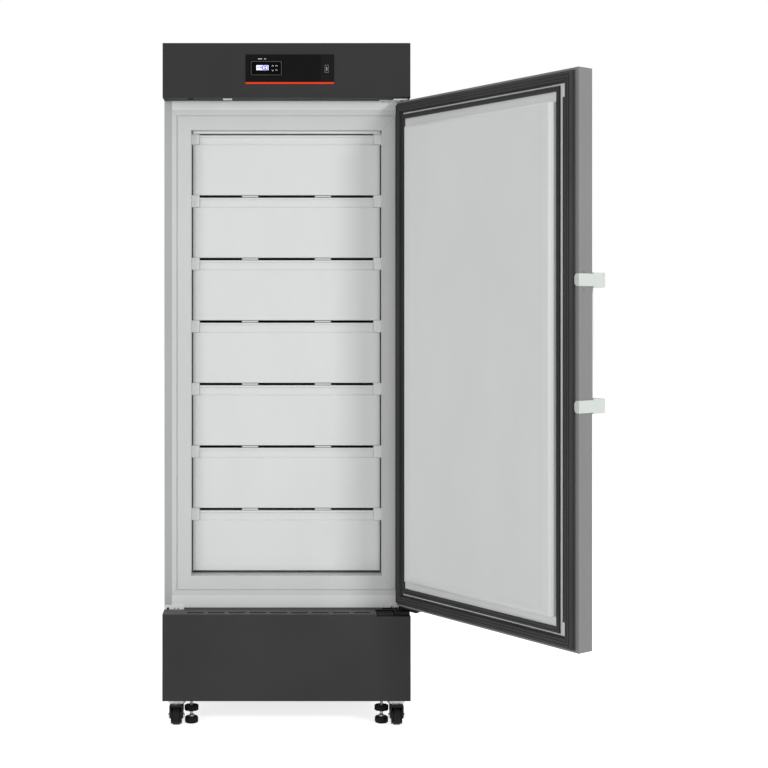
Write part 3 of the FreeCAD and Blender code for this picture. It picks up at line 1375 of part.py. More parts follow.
def make_fork(index, x, y, race_low):
    crown_top = race_low - running_gap
    crown_low = crown_top - fork_cap
    half = fork_width / 2
    front = -caster_trail - fork_toe * 1.6
    fork = new_body(f"fork_shell_{index + 1}")
    prism(fork, "YZ", -half, half, [
        (fork_back, crown_top), (front, crown_top), (front, wheel_radius + fork_toe),
        (-caster_trail - fork_toe, wheel_radius - fork_toe * 0.6),
        (-caster_trail + fork_toe, wheel_radius - fork_toe * 0.6),
        (leg_back, crown_low - fork_cap), (leg_back, crown_low), (fork_back, crown_low)])
    soften(fork, fork_nape, lambda a, b: runs_along(a, b, "z") and near(a.y, fork_back))
    soften(fork, fork_leg / 2, lambda a, b: near(a.z, crown_top) and near(b.z, crown_top))
    inner = half - fork_leg
    cut(fork, "YZ", -inner, inner, rectangle(-caster_trail - fork_toe * 4, fork_back * 2, 0, crown_low))
    cut(fork, "XY", crown_low, crown_top, Round(0, 0, kingpin_radius + shaft_clear))
    cut(fork, "YZ", -half, half, Round(-caster_trail, wheel_radius, axle_radius))
    place(fork, x, y, 0)
    axle = new_body(f"axle_{index + 1}")
    prism(axle, "YZ", -half, half, Round(0, 0, axle_radius))
    prism(axle, "YZ", half, half + axle_head_thick, Round(0, 0, axle_head))
    prism(axle, "YZ", -half - axle_head_thick, -half, Round(0, 0, axle_head))
    place(axle, x, y - caster_trail, wheel_radius)
    group(f"caster_fork_{index + 1}", [fork, axle])


def make_wheel(index, x, y):
    wheel = new_body(f"caster_wheel_{index + 1}")
    half = wheel_width / 2
    hub = hub_width / 2
    bore = axle_radius + shaft_clear
    rim = wheel_radius - rim_width
    web = half - web_recess
    turned(wheel, "XZ", "H_Axis", [
        (-hub, bore), (-hub, wheel_hub_radius), (-web, wheel_hub_radius), (-web, rim),
        (-half, rim), (-half, wheel_radius - tread_round), (-half + tread_round, wheel_radius),
        (half - tread_round, wheel_radius), (half, wheel_radius - tread_round), (half, rim),
        (web, rim), (web, wheel_hub_radius), (hub, wheel_hub_radius), (hub, bore)])
    place(wheel, x, y - caster_trail, wheel_radius)
    keep(wheel, f"caster_wheel_{index + 1}")


def make_feet():
    # Levelling feet: the pad keeps still while the stem and handwheel turn in it
    for side, label in ((-1, "left"), (1, "right")):
        pad = new_body(f"foot_pad_{label}")
        turned(pad, "XZ", "V_Axis", [
            (0, 0), (foot_radius - foot_round, 0), (foot_radius, foot_round),
            (foot_radius, foot_edge), (foot_neck, foot_height),
            (stem_radius + running_gap, foot_height),
            (stem_radius + running_gap, foot_height - foot_socket), (0, foot_height - foot_socket)])
        place(pad, side * foot_x, -foot_y, 0)
        keep(pad, f"foot_pad_{label}")
        stem = new_body(f"foot_stem_{label}")
        base = foot_height - foot_socket + running_gap
        collar_low = foot_height + running_gap
        wheel_high = handwheel_low + handwheel_thick
        turned(stem, "XZ", "V_Axis", [
            (0, base), (stem_radius, base), (stem_radius, collar_low), (stem_collar, collar_low),
            (stem_collar, collar_low + collar_height / 2), (stem_radius, collar_low + collar_height),
            (stem_radius, stem_top), (0, stem_top)])
        prism(stem, "XY", handwheel_low, wheel_high, Round(0, 0, handwheel_radius))
        notches = []
        for step in range(handwheel_notches):
            angle = Size(repr(360.0 * step / handwheel_notches), 360.0 * step / handwheel_notches)
            notches.append(Round(handwheel_radius * cosine(angle), handwheel_radius * sine(angle),
                                 notch_radius))
        cut(stem, "XY", handwheel_low, wheel_high, *notches)
        place(stem, side * foot_x, -foot_y, 0)
        keep(stem, f"foot_stem_{label}")


make_outer_case()
make_back_panel()
make_insulation()
make_inner_liner()
make_breaker_strip()
make_face_frame()
make_cold_shelves()
make_drawer_guides()
for drawer_index in range(drawer_count):
    make_drawer(drawer_index)
make_control_fascia()
make_control_housing()
make_display_overlay()
make_accent_strip()
make_controller()
make_buttons()
make_usb_port()
make_control_board()
make_door_sensor()
make_base_panel()
make_base_chassis()
make_compressor()
make_condenser()
make_fan()
make_cord_gland()
make_upper_hinge()
make_lower_hinge()
make_corner_bracket()
make_door_skin()
make_door_core()
make_door_liner()
make_door_gaskets()
make_door_bushes()
make_handle()
make_lock()
make_casters()
make_feet()
doc.recompute()

faults = []
for thing in doc.Objects:
    if "Invalid" in thing.State or "Error" in thing.State:
        faults.append(f"{thing.Label}: {thing.State}")
for label, thing in nodes.items():
    if thing.Shape.isNull() or not thing.Shape.isValid() or not thing.Shape.Solids:
        faults.append(f"{label}: bad shape")
if faults:
    raise RuntimeError("; ".join(faults))

os.makedirs("parts", exist_ok=True)
for label, thing in nodes.items():
    thing.Shape.exportStep(f"parts/{label}.step")
    bounds = thing.Shape.BoundBox
    print(f"{label}: {len(thing.Shape.Solids)} solid(s), "
          f"{bounds.XLength:.1f} x {bounds.YLength:.1f} x {bounds.ZLength:.1f} mm")
print(f"{len(nodes)} nodes")
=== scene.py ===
import json
import math

import bmesh
import bpy
from mathutils import Matrix, Vector


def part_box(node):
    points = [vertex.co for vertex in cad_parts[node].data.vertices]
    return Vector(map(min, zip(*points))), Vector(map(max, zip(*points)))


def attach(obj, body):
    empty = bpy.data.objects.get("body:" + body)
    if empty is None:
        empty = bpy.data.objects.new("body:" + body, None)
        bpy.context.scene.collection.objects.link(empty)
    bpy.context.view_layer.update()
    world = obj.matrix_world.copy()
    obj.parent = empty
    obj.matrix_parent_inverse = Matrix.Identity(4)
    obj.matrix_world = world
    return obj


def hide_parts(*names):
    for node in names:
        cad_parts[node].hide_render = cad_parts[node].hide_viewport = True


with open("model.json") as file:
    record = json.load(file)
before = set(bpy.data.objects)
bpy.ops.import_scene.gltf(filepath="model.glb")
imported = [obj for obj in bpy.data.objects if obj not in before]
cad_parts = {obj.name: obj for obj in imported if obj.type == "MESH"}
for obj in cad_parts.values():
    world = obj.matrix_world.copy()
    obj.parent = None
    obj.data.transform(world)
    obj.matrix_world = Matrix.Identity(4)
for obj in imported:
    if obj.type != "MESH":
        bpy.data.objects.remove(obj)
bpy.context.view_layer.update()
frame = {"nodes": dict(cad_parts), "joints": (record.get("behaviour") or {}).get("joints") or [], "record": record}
nodes = frame["nodes"]
scene = bpy.context.scene
mm = 0.001

print("frame loaded:", len(nodes), "nodes")


# Colours are picked as they look on a screen, 0 to 255, and turned into scene values here
def screenColour(red, green, blue):
    linear = []
    for level in (red, green, blue):
        share = level / 255
        linear.append(share / 12.92 if share <= 0.04045 else ((share + 0.055) / 1.055) ** 2.4)
    return (*linear, 1.0)


# Shared shader groups

def addSocket(group, name, direction, kind="NodeSocketFloat", value=None):
    socket = group.interface.new_socket(name=name, in_out=direction, socket_type=kind)
    if value is not None:
        socket.default_value = value
    return socket


def newGroup(name, inputs, outputs):
    group = bpy.data.node_groups.new(name, "ShaderNodeTree")
    for label, value in inputs:
        addSocket(group, label, "INPUT", value=value)
    for label in outputs:
        addSocket(group, label, "OUTPUT")
    entry = group.nodes.new("NodeGroupInput")
    leave = group.nodes.new("NodeGroupOutput")
    return group, entry, leave


def objectNoise(tree, scaleSocket, detail, roughness, stretch=None):
    coords = tree.nodes.new("ShaderNodeTexCoord")
    noise = tree.nodes.new("ShaderNodeTexNoise")
    noise.inputs["Detail"].default_value = detail
    noise.inputs["Roughness"].default_value = roughness
    source = coords.outputs["Object"]
    if stretch:
        mapping = tree.nodes.new("ShaderNodeMapping")
        mapping.inputs["Scale"].default_value = stretch
        tree.links.new(source, mapping.inputs["Vector"])
        source = mapping.outputs["Vector"]
    tree.links.new(source, noise.inputs["Vector"])
    tree.links.new(scaleSocket, noise.inputs["Scale"])
    return noise.outputs["Fac"]


def spread(tree, value, low, high):
    # Stretches the middle of a noise to the full range
    ranged = tree.nodes.new("ShaderNodeMapRange")
    ranged.inputs["From Min"].default_value = low
    ranged.inputs["From Max"].default_value = high
    tree.links.new(value, ranged.inputs["Value"])
    return ranged.outputs["Result"]


def combine(tree, first, second, operation):
    node = tree.nodes.new("ShaderNodeMath")
    node.operation = operation
    tree.links.new(first, node.inputs[0])
    if hasattr(second, "is_output"):
        tree.links.new(second, node.inputs[1])
    else:
        node.inputs[1].default_value = second
    return node.outputs[0]


def buildPowderCoat():
    # Fine orange peel over broad, faint tone changes
    group, entry, leave = newGroup("powderCoat", (("Peel Scale", 900.0), ("Tone Scale", 5.0)),
                                   ("Tone", "Height"))
    peel = objectNoise(group, entry.outputs["Peel Scale"], 2.0, 0.55)
    tone = objectNoise(group, entry.outputs["Tone Scale"], 4.0, 0.5)
    group.links.new(spread(group, tone, 0.3, 0.7), leave.inputs["Tone"])
    group.links.new(spread(group, peel, 0.25, 0.75), leave.inputs["Height"])
    return group


def buildMouldedPlastic():
    # Fine spark grain with slow sink waves and faint flow lines
    group, entry, leave = newGroup("mouldedPlastic", (("Grain Scale", 1400.0), ("Wave Scale", 9.0)),
                                   ("Tone", "Height"))
    grain = objectNoise(group, entry.outputs["Grain Scale"], 1.0, 0.5)
    wave = objectNoise(group, entry.outputs["Wave Scale"], 3.0, 0.45, (1.0, 1.0, 0.35))
    group.links.new(spread(group, wave, 0.3, 0.7), leave.inputs["Tone"])
    fine = combine(group, spread(group, grain, 0.3, 0.7), 0.35, "MULTIPLY")
    group.links.new(combine(group, fine, spread(group, wave, 0.3, 0.7), "ADD"), leave.inputs["Height"])
    return group


def buildHandlingDust():
    # Dust that settles on faces that look up, in soft patches
    group, entry, leave = newGroup("handlingDust", (("Patch Scale", 14.0), ("Amount", 0.5)), ("Mask",))
    geometry = group.nodes.new("ShaderNodeNewGeometry")
    parts = group.nodes.new("ShaderNodeSeparateXYZ")
    group.links.new(geometry.outputs["Normal"], parts.inputs[0])
    upward = spread(group, parts.outputs["Z"], 0.3, 0.95)
    patch = spread(group, objectNoise(group, entry.outputs["Patch Scale"], 5.0, 0.6), 0.25, 0.8)
    mask = combine(group, upward, patch, "MULTIPLY")
    group.links.new(combine(group, mask, entry.outputs["Amount"], "MULTIPLY"), leave.inputs["Mask"])
    return group


def buildBrushedGrain():
    # Long fine lines of rolled or plated metal
    group, entry, leave = newGroup("brushedGrain", (("Line Scale", 260.0),), ("Tone", "Height"))
    lines = objectNoise(group, entry.outputs["Line Scale"], 3.0, 0.6, (0.06, 1.0, 1.0))
    group.links.new(spread(group, lines, 0.3, 0.7), leave.inputs["Tone"])
    group.links.new(lines, leave.inputs["Height"])
    return group


groups = {
    "powderCoat": buildPowderCoat(),
    "mouldedPlastic": buildMouldedPlastic(),
    "handlingDust": buildHandlingDust(),
    "brushedGrain": buildBrushedGrain(),
}
print("shader groups built")


# Materials

# base and shade are the two ends of the tone change, rough the two ends of roughness. Dust and metal
# are none and shine is 0.5 where a finish doesn't say
finishes = {
    "caseSteel": {"group": "powderCoat", "base": (172, 173, 173), "shade": (168, 169, 169),
                  "rough": (0.42, 0.52), "bump": 0.05, "dust": 0.04},
    "foamFill": {"group": "mouldedPlastic", "base": (226, 206, 150), "shade": (212, 190, 132),
                 "rough": (0.9, 0.98), "bump": 0.5},
    "linerPlastic": {"group": "mouldedPlastic", "base": (203, 204, 204), "shade": (200, 201, 201),
                     "rough": (0.36, 0.46), "bump": 0.03},
    "doorLinerPlastic": {"group": "mouldedPlastic", "base": (221, 222, 222), "shade": (218, 219, 219),
                         "rough": (0.36, 0.46), "bump": 0.03},
    "drawerPlastic": {"group": "mouldedPlastic", "base": (219, 220, 220), "shade": (216, 217, 217),
                      "rough": (0.34, 0.44), "bump": 0.04},
    "shelfCoat": {"group": "powderCoat", "base": (205, 207, 208), "shade": (196, 198, 199),
                  "rough": (0.4, 0.5), "bump": 0.06, "dust": 0.05},
    "boxPaint": {"group": "powderCoat", "base": (51, 51, 51), "shade": (48, 48, 48),
                 "rough": (0.5, 0.6), "bump": 0.16, "dust": 0.02, "shine": 0.12},
    "basePaint": {"group": "powderCoat", "base": (46, 46, 46), "shade": (43, 43, 43),
                  "rough": (0.5, 0.62), "bump": 0.16, "dust": 0.1, "shine": 0.25},
    "chassisPaint": {"group": "powderCoat", "base": (84, 84, 84), "shade": (74, 74, 74),
                     "rough": (0.55, 0.7), "bump": 0.2, "dust": 0.15},
    "smokedFilm": {"group": "powderCoat", "base": (15, 15, 15), "shade": (12, 12, 12),
                   "rough": (0.42, 0.5), "bump": 0.02, "dust": 0.01, "shine": 0.06},
    "smokedFilmPale": {"group": "powderCoat", "base": (24, 24, 25), "shade": (21, 21, 22),
                       "rough": (0.42, 0.5), "bump": 0.02, "dust": 0.01, "shine": 0.06},
    "bezelGrey": {"group": "mouldedPlastic", "base": (104, 105, 107), "shade": (96, 97, 99),
                  "rough": (0.4, 0.5), "bump": 0.02, "shine": 0.3},
    "accentFilm": {"group": "powderCoat", "base": (232, 66, 30), "shade": (228, 62, 28),
                   "rough": (0.4, 0.46), "bump": 0.02, "shine": 0.1},
    "controllerPlastic": {"group": "mouldedPlastic", "base": (10, 10, 10), "shade": (7, 7, 7),
                          "rough": (0.4, 0.5), "bump": 0.05, "shine": 0.05},
    "windowBlack": {"group": "mouldedPlastic", "base": (5, 5, 6), "shade": (4, 4, 5),
                    "rough": (0.2, 0.26), "bump": 0.01, "shine": 0.04},
    "keyRubber": {"group": "mouldedPlastic", "base": (12, 12, 12), "shade": (9, 9, 9),
                  "rough": (0.5, 0.6), "bump": 0.08, "shine": 0.1},
    "zincPlate": {"group": "brushedGrain", "base": (196, 197, 198), "shade": (168, 170, 172),
                  "rough": (0.28, 0.42), "bump": 0.05, "metal": 1.0},
    "boardGreen": {"group": "mouldedPlastic", "base": (30, 104, 62), "shade": (22, 84, 50),
                   "rough": (0.35, 0.45), "bump": 0.1, "dust": 0.05},
    "sensorWhite": {"group": "mouldedPlastic", "base": (236, 236, 236), "shade": (228, 228, 228),
                    "rough": (0.4, 0.5), "bump": 0.03},
    "compressorEnamel": {"group": "powderCoat", "base": (22, 22, 23), "shade": (16, 16, 17),
                         "rough": (0.25, 0.4), "bump": 0.12, "dust": 0.2},
    "finAluminium": {"group": "brushedGrain", "base": (190, 192, 195), "shade": (160, 163, 167),
                     "rough": (0.35, 0.5), "bump": 0.1, "dust": 0.1, "metal": 1.0},
    "blackNylon": {"group": "mouldedPlastic", "base": (20, 20, 20), "shade": (14, 14, 14),
                   "rough": (0.42, 0.55), "bump": 0.1},
    "hingePlate": {"group": "brushedGrain", "base": (232, 233, 233), "shade": (222, 223, 224),
                   "rough": (0.35, 0.45), "bump": 0.05, "metal": 0.1},
    "hingeBlack": {"group": "powderCoat", "base": (8, 8, 8), "shade": (5, 5, 5),
                   "rough": (0.35, 0.5), "bump": 0.1, "shine": 0.15},
    "doorPaint": {"group": "powderCoat", "base": (127, 127, 127), "shade": (123, 123, 123),
                  "rough": (0.4, 0.5), "bump": 0.08, "dust": 0.03},
    "gasketRubber": {"group": "mouldedPlastic", "base": (53, 53, 54), "shade": (48, 48, 49),
                     "rough": (0.5, 0.62), "bump": 0.06, "shine": 0.3},
    "handleMoulding": {"group": "mouldedPlastic", "base": (205, 211, 206), "shade": (201, 207, 203),
                       "rough": (0.4, 0.5), "bump": 0.05},
    "forkBlack": {"group": "powderCoat", "base": (9, 9, 9), "shade": (6, 6, 6),
                  "rough": (0.3, 0.42), "bump": 0.1, "dust": 0.02, "shine": 0.2},
    "treadBlack": {"group": "mouldedPlastic", "base": (11, 11, 11), "shade": (7, 7, 7),
                   "rough": (0.5, 0.66), "bump": 0.16, "dust": 0.03, "shine": 0.2},
    "footRubber": {"group": "mouldedPlastic", "base": (12, 12, 12), "shade": (8, 8, 8),
                   "rough": (0.6, 0.75), "bump": 0.2, "dust": 0.03, "shine": 0.2},
    # Paler paint of the flange's cross pieces, with painted light against the shade under the box and over the
    # base
    "flangePaleAndLit": {"group": "powderCoat", "base": (220, 221, 221), "shade": (216, 217, 217),
                    "rough": (0.42, 0.52), "bump": 0.05},
    "brightSteel": {"group": "brushedGrain", "base": (214, 215, 216), "shade": (194, 195, 197),
                    "rough": (0.2, 0.3), "bump": 0.04, "metal": 1.0},
    "deepShadow": {"group": "mouldedPlastic", "base": (54, 54, 54), "shade": (48, 48, 48),
                   "rough": (0.7, 0.8), "bump": 0.02, "shine": 0.1},
    # Lighter base paint as painted light, for the lit top of the base ledge and the upstand in shade
    "ledgePaintedLight": {"group": "powderCoat", "base": (86, 86, 86), "shade": (82, 82, 82),
                   "rough": (0.5, 0.62), "bump": 0.16, "dust": 0.02, "shine": 0.2},
    "socketShell": {"group": "mouldedPlastic", "base": (150, 145, 138), "shade": (140, 136, 130),
                    "rough": (0.4, 0.5), "bump": 0.02, "shine": 0.3},
    "seamShadow": {"group": "mouldedPlastic", "base": (160, 160, 160), "shade": (154, 154, 154),
                   "rough": (0.6, 0.7), "bump": 0.02},
}

dustColour = (176, 172, 164)


def mixColours(tree, factor, first, second):
    mix = tree.nodes.new("ShaderNodeMix")
    mix.data_type = "RGBA"
    tree.links.new(factor, mix.inputs["Factor"])
    for socket, colour in (("A", first), ("B", second)):
        target = [s for s in mix.inputs if s.name == socket and s.type == "RGBA"][0]
        if hasattr(colour, "is_output"):
            tree.links.new(colour, target)
        else:
            target.default_value = colour
    return [s for s in mix.outputs if s.type == "RGBA"][0]


def buildFinish(name, look):
    material = bpy.data.materials.new(name)
    material.use_nodes = True
    tree = material.node_tree
    shader = tree.nodes["Principled BSDF"]
    surface = tree.nodes.new("ShaderNodeGroup")
    surface.node_tree = groups[look["group"]]
    tone = surface.outputs["Tone"]
    colour = mixColours(tree, tone, screenColour(*look["base"]), screenColour(*look["shade"]))
    if "dust" in look:
        dust = tree.nodes.new("ShaderNodeGroup")
        dust.node_tree = groups["handlingDust"]
        dust.inputs["Amount"].default_value = look["dust"]
        colour = mixColours(tree, dust.outputs["Mask"], colour, screenColour(*dustColour))
    tree.links.new(colour, shader.inputs["Base Color"])
    rough = tree.nodes.new("ShaderNodeMapRange")
    rough.inputs["To Min"].default_value = look["rough"][0]
    rough.inputs["To Max"].default_value = look["rough"][1]
    tree.links.new(tone, rough.inputs["Value"])
    tree.links.new(rough.outputs["Result"], shader.inputs["Roughness"])
    bump = tree.nodes.new("ShaderNodeBump")
    bump.inputs["Strength"].default_value = look["bump"]
    bump.inputs["Distance"].default_value = 0.0006
    tree.links.new(surface.outputs["Height"], bump.inputs["Height"])
    tree.links.new(bump.outputs["Normal"], shader.inputs["Normal"])
    shader.inputs["Metallic"].default_value = look.get("metal", 0.0)
    shader.inputs["Specular IOR Level"].default_value = look.get("shine", 0.5)
    return material


materials = {name: buildFinish(name, look) for name, look in finishes.items()}


def glowing(name, colour, strength):
    material = bpy.data.materials.new(name)
    material.use_nodes = True
    tree = material.node_tree
    shader = tree.nodes["Principled BSDF"]
    surface = tree.nodes.new("ShaderNodeGroup")
    surface.node_tree = groups["mouldedPlastic"]
    dim = screenColour(*[level * 0.93 for level in colour])
    light = mixColours(tree, surface.outputs["Tone"], screenColour(*colour), dim)
    tree.links.new(light, shader.inputs["Base Color"])
    tree.links.new(light, shader.inputs["Emission Color"])
    shader.inputs["Emission Strength"].default_value = strength
    shader.inputs["Roughness"].default_value = 0.3
    return material


materials["lcdGlow"] = glowing("lcdGlow", (226, 228, 252), 0.6)
materials["digitBlue"] = glowing("digitBlue", (92, 88, 232), 0.35)
# Printed key marks with a painted glow, also used on the status windows
materials["keyPrintPaintedGlow"] = glowing("keyPrintPaintedGlow", (206, 208, 210), 0.25)

slotFinish = {
    "case_white": "caseSteel", "foam": "foamFill", "liner_white": "linerPlastic",
    "drawer_white": "drawerPlastic", "shelf_steel": "shelfCoat", "box_dark": "boxPaint",
    "overlay_dark": "smokedFilm", "accent_orange": "accentFilm",
    "controller_black": "controllerPlastic", "window_black": "windowBlack", "key_grey": "keyRubber",
    "zinc": "zincPlate", "board_green": "boardGreen", "sensor_white": "sensorWhite",
    "base_dark": "basePaint", "chassis_grey": "chassisPaint", "compressor_black": "compressorEnamel",
    "coil": "finAluminium", "black_plastic": "blackNylon", "hinge_light": "hingePlate",
    "hinge_black": "hingeBlack", "door_grey": "doorPaint", "gasket_grey": "gasketRubber",
    "handle_white": "handleMoulding", "caster_black": "forkBlack", "tyre_black": "treadBlack",
    "foot_rubber": "footRubber",
}
nodeSlots = {entry["node"]: entry["material_slot"] for entry in frame["record"]["subparts"]}
for name, thing in nodes.items():
    finish = materials[slotFinish[nodeSlots[name]]]
    thing.data.materials.clear()
    thing.data.materials.append(finish)
print("materials assigned")


# Finishes that change within one node

def repaint(name, finish, chosen):
    # Gives the faces whose middle passes the test a finish of their own
    mesh = nodes[name].data
    mesh.materials.append(materials[finish])
    count = 0
    for polygon in mesh.polygons:
        if chosen(polygon.center):
            polygon.material_index = len(mesh.materials) - 1
            count += 1
    print("repainted", name, count)


caseLow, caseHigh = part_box("outer_case")
baseLow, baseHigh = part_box("base_panel")
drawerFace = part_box("drawer_1")[0].y
skinDeep = 0.0002
shelfFront = {"behind": 0.100, "within": 0.0004}
# Painted light: the upward faces of the base ledge take the lighter ledge paint
repaint("base_panel", "ledgePaintedLight", lambda c: c.z > baseHigh.z - skinDeep)
repaint("cold_shelves", "deepShadow",
        lambda c: abs(c.y - caseLow.y - shelfFront["behind"]) < shelfFront["within"])

handwheel = {"low": 0.0348, "high": 0.0477, "core": 0.00441}
for side in ("left", "right"):
    stemLow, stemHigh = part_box(f"foot_stem_{side}")
    axisX, axisY = (stemLow.x + stemHigh.x) / 2, (stemLow.y + stemHigh.y) / 2
    repaint(f"foot_stem_{side}", "footRubber", lambda c: handwheel["low"] < c.z < handwheel["high"]
            and math.hypot(c.x - axisX, c.y - axisY) > handwheel["core"])

axle = {"radius": 0.0068, "legOut": 0.0186}
for number in (1, 2, 3, 4):
    wheelLow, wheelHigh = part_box(f"caster_wheel_{number}")
    hubX, hubY, hubZ = (wheelLow + wheelHigh) / 2
    repaint(f"caster_fork_{number}", "brightSteel", lambda c: abs(c.x - hubX) > axle["legOut"]
            and math.hypot(c.y - hubY, c.z - hubZ) < axle["radius"])


# Mesh helpers

def finishPiece(name, mesh, finish, body, place=None):
    thing = bpy.data.objects.new(name, mesh)
    scene.collection.objects.link(thing)
    if place is not None:
        thing.matrix_world = place
    mesh.materials.append(materials[finish])
    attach(thing, body)
    return thing


def meshFrom(name, build, smoothAngle=35):
    # Runs build on a fresh bmesh and returns the mesh, smooth where faces meet gently
    work = bmesh.new()
    build(work)
    bmesh.ops.remove_doubles(work, verts=work.verts, dist=1e-6)
    bmesh.ops.recalc_face_normals(work, faces=work.faces)
    limit = math.radians(smoothAngle)
    for edge in work.edges:
        edge.smooth = len(edge.link_faces) == 2 and edge.calc_face_angle(0) < limit
    for face in work.faces:
        face.smooth = True
    mesh = bpy.data.meshes.new(name)
    work.to_mesh(mesh)
    work.free()
    return mesh


def block(work, low, high, bevel=0.0):
    # A box between two corners with rounded edges
    made = bmesh.ops.create_cube(work, size=1.0)
    verts = made["verts"]
    for vert in verts:
        for axis in range(3):
            vert.co[axis] = low[axis] if vert.co[axis] < 0 else high[axis]
    if bevel:
        edges = list({edge for vert in verts for edge in vert.link_edges})
        bmesh.ops.bevel(work, geom=edges, offset=bevel, segments=2, affect="EDGES", profile=0.6)


def turned(work, profile, steps=32):
    # Turns (radius, height) points about local Z
    rings = []
    for radius, height in profile:
        if radius < 1e-7:
            rings.append([work.verts.new((0, 0, height))])
            continue
        ring = []
        for step in range(steps):
            angle = 2 * math.pi * step / steps
            ring.append(work.verts.new((radius * math.cos(angle), radius * math.sin(angle), height)))
        rings.append(ring)
    for low, high in zip(rings, rings[1:]):
        for step in range(steps):
            corners = [low[step % len(low)], low[(step + 1) % len(low)],
                       high[(step + 1) % len(high)], high[step % len(high)]]
            unique = []
            for corner in corners:
                if corner not in unique:
                    unique.append(corner)
            if len(unique) > 2:
                work.faces.new(unique)


def facing(direction, at):
    # Places local Z along a direction
    turn = Vector(direction).to_track_quat("Z", "Y").to_matrix().to_4x4()
    return Matrix.Translation(Vector(at)) @ turn


# Closed-door coordinates, swung to the open rest place

hinge = [joint for joint in frame["joints"] if joint["name"] == "door_hinge"][0]
doorAngle = math.radians(-hinge["range_deg"][0])
pivot = Vector(hinge["pos_m"])
doorPlace = (Matrix.Translation(pivot) @ Matrix.Rotation(doorAngle, 4, "Z")
             @ Matrix.Translation(-pivot))


def closedBox(name):
    # Corners of a door node as if the door were shut
    points = [doorPlace.inverted() @ vert.co for vert in nodes[name].data.vertices]
    low = Vector([min(point[axis] for point in points) for axis in range(3)])
    high = Vector([max(point[axis] for point in points) for axis in range(3)])
    return low, high


skinLow, skinHigh = closedBox("door_skin")
faceY = caseLow.y
print("door open by", round(math.degrees(doorAngle), 2))


# Door gasket, swept round the door with mitred corners

# Each set of four is in mm from the door's edge: free side, hinge side, top, bottom
gasket = {
    "outer": [(0.0, 0.0), (0.0, 2.4), (0.8, 3.4), (3.7, 3.5), (4.9, 4.6), (3.9, 5.8), (3.9, 6.9),
              (5.0, 7.9), (4.6, 9.6), (5.1, 11.0), (6.3, 11.6), (9.7, 11.6), (10.2, 10.0), (11.3, 10.0),
              (11.8, 11.6), (17.6, 11.6), (18.1, 10.0), (19.2, 10.0), (19.7, 11.6), (23.1, 11.6),
              (24.2, 11.0), (24.6, 9.6), (24.2, 7.9), (25.1, 6.9), (25.1, 5.8), (24.3, 4.6),
              (25.3, 3.5), (28.0, 3.4), (28.4, 2.4), (28.4, 0.0)],
    "outerFrom": (10.8, 4.0, 5.5, 5.0), "outerWide": (27.7, 23.8, 27.6, 28.1),
    "inner": [(0.0, 0.0), (0.0, 3.0), (0.8, 4.6), (0.8, 6.2), (1.9, 7.0), (4.7, 7.0), (5.2, 5.4), (6.4, 5.4),
              (6.9, 7.0), (9.6, 7.0), (10.7, 6.2), (10.7, 4.6), (11.5, 3.0), (11.5, 0.0)],
    "innerFrom": (57.0, 28.5, 37.6, 37.5), "innerWide": (9.4, 7.7, 12.4, 14.5),
    "lipWide": (11.5, 0.4, 0.5, 0.4), "lipThick": 1.4, "lipCut": (46.0, 30.0, 33.0, 33.0),
}


def doorCorners(insets):
    # Corners of a rectangle on the shut door, from the four insets
    free, hinge, top, bottom = [inset * mm for inset in insets]
    left, right = skinLow.x + free, skinHigh.x - hinge
    low, high = skinLow.z + bottom, skinHigh.z - top
    return [(left, low), (right, low), (right, high), (left, high)]


def joinLoops(work, loops):
    for first, second in loops:
        for index in range(4):
            following = (index + 1) % 4
            work.faces.new((first[index], first[following], second[following], second[index]))


def doorLoop(work, insets, height):
    y = skinHigh.y + height * mm
    return [work.verts.new((x, y, z)) for x, z in doorCorners(insets)]


def sweptRing(work, profile, starts, widths):
    # Each profile point is (share of the width in mm, height over the inner side)
    full = max(across for across, height in profile)
    loops = []
    for across, height in profile:
        insets = [start + across / full * width for start, width in zip(starts, widths)]
        loops.append(doorLoop(work, insets, height))
    joinLoops(work, zip(loops, loops[1:] + loops[:1]))


def gasketLips(work):
    # Flat inner lips along the straight stretches only
    near = [start + width for start, width in zip(gasket["outerFrom"], gasket["outerWide"])]
    far = [inset + wide for inset, wide in zip(near, gasket["lipWide"])]
    back = [inset + cut for inset, cut in zip(near, gasket["lipCut"])]
    inner, outer, ends = doorCorners(far), doorCorners(near), doorCorners(back)
    y = skinHigh.y
    top = y + gasket["lipThick"] * mm
    for x in ((outer[0][0], inner[0][0]), (inner[1][0], outer[1][0])):
        block(work, (x[0], y, ends[0][1]), (x[1], top, ends[2][1]), 0.0004)
    for z in ((outer[0][1], inner[0][1]), (inner[2][1], outer[2][1])):
        block(work, (ends[0][0], y, z[0]), (ends[1][0], top, z[1]), 0.0004)


outerGasket = finishPiece(
    "outerGasket",
    meshFrom("outerGasket", lambda w: sweptRing(
        w, gasket["outer"], gasket["outerFrom"], gasket["outerWide"])),
    "gasketRubber", "door", doorPlace)
finishPiece(
    "innerGasket",
    meshFrom("innerGasket", lambda w: sweptRing(
        w, gasket["inner"], gasket["innerFrom"], gasket["innerWide"])),
    "gasketRubber", "door", doorPlace)
finishPiece("gasketLips", meshFrom("gasketLips", gasketLips), "gasketRubber", "door",
            doorPlace)
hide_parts("door_gaskets")
print("gasket swept")


# Door liner: sloped ledge inside the inner gasket and the plug that fills the opening

# Height over the inner side, then mm from the door's edge: free side, hinge side, top, bottom
doorLiner = {
    "back": (-1.6, (12.2, 12.2, 12.2, 12.2)),
    "rings": [(0.0, (12.2, 12.2, 12.2, 12.2)), (0.0, (66.0, 35.8, 49.6, 51.6)),
              (7.0, (66.6, 63.4, 76.4, 77.9)), (27.8, (67.4, 64.8, 77.8, 79.3)),
              (28.7, (68.3, 65.6, 78.6, 80.1)), (29.5, (71.5, 67.6, 80.0, 82.2)),
              (30.1, (77.5, 71.5, 81.8, 85.4)), (30.4, (85.0, 76.0, 83.4, 88.6)),
              (30.5, (91.2, 78.8, 84.6, 90.6)), (28.1, (98.6, 86.2, 91.0, 97.0)),
              (27.7, (101.0, 88.6, 93.4, 99.4))],
}


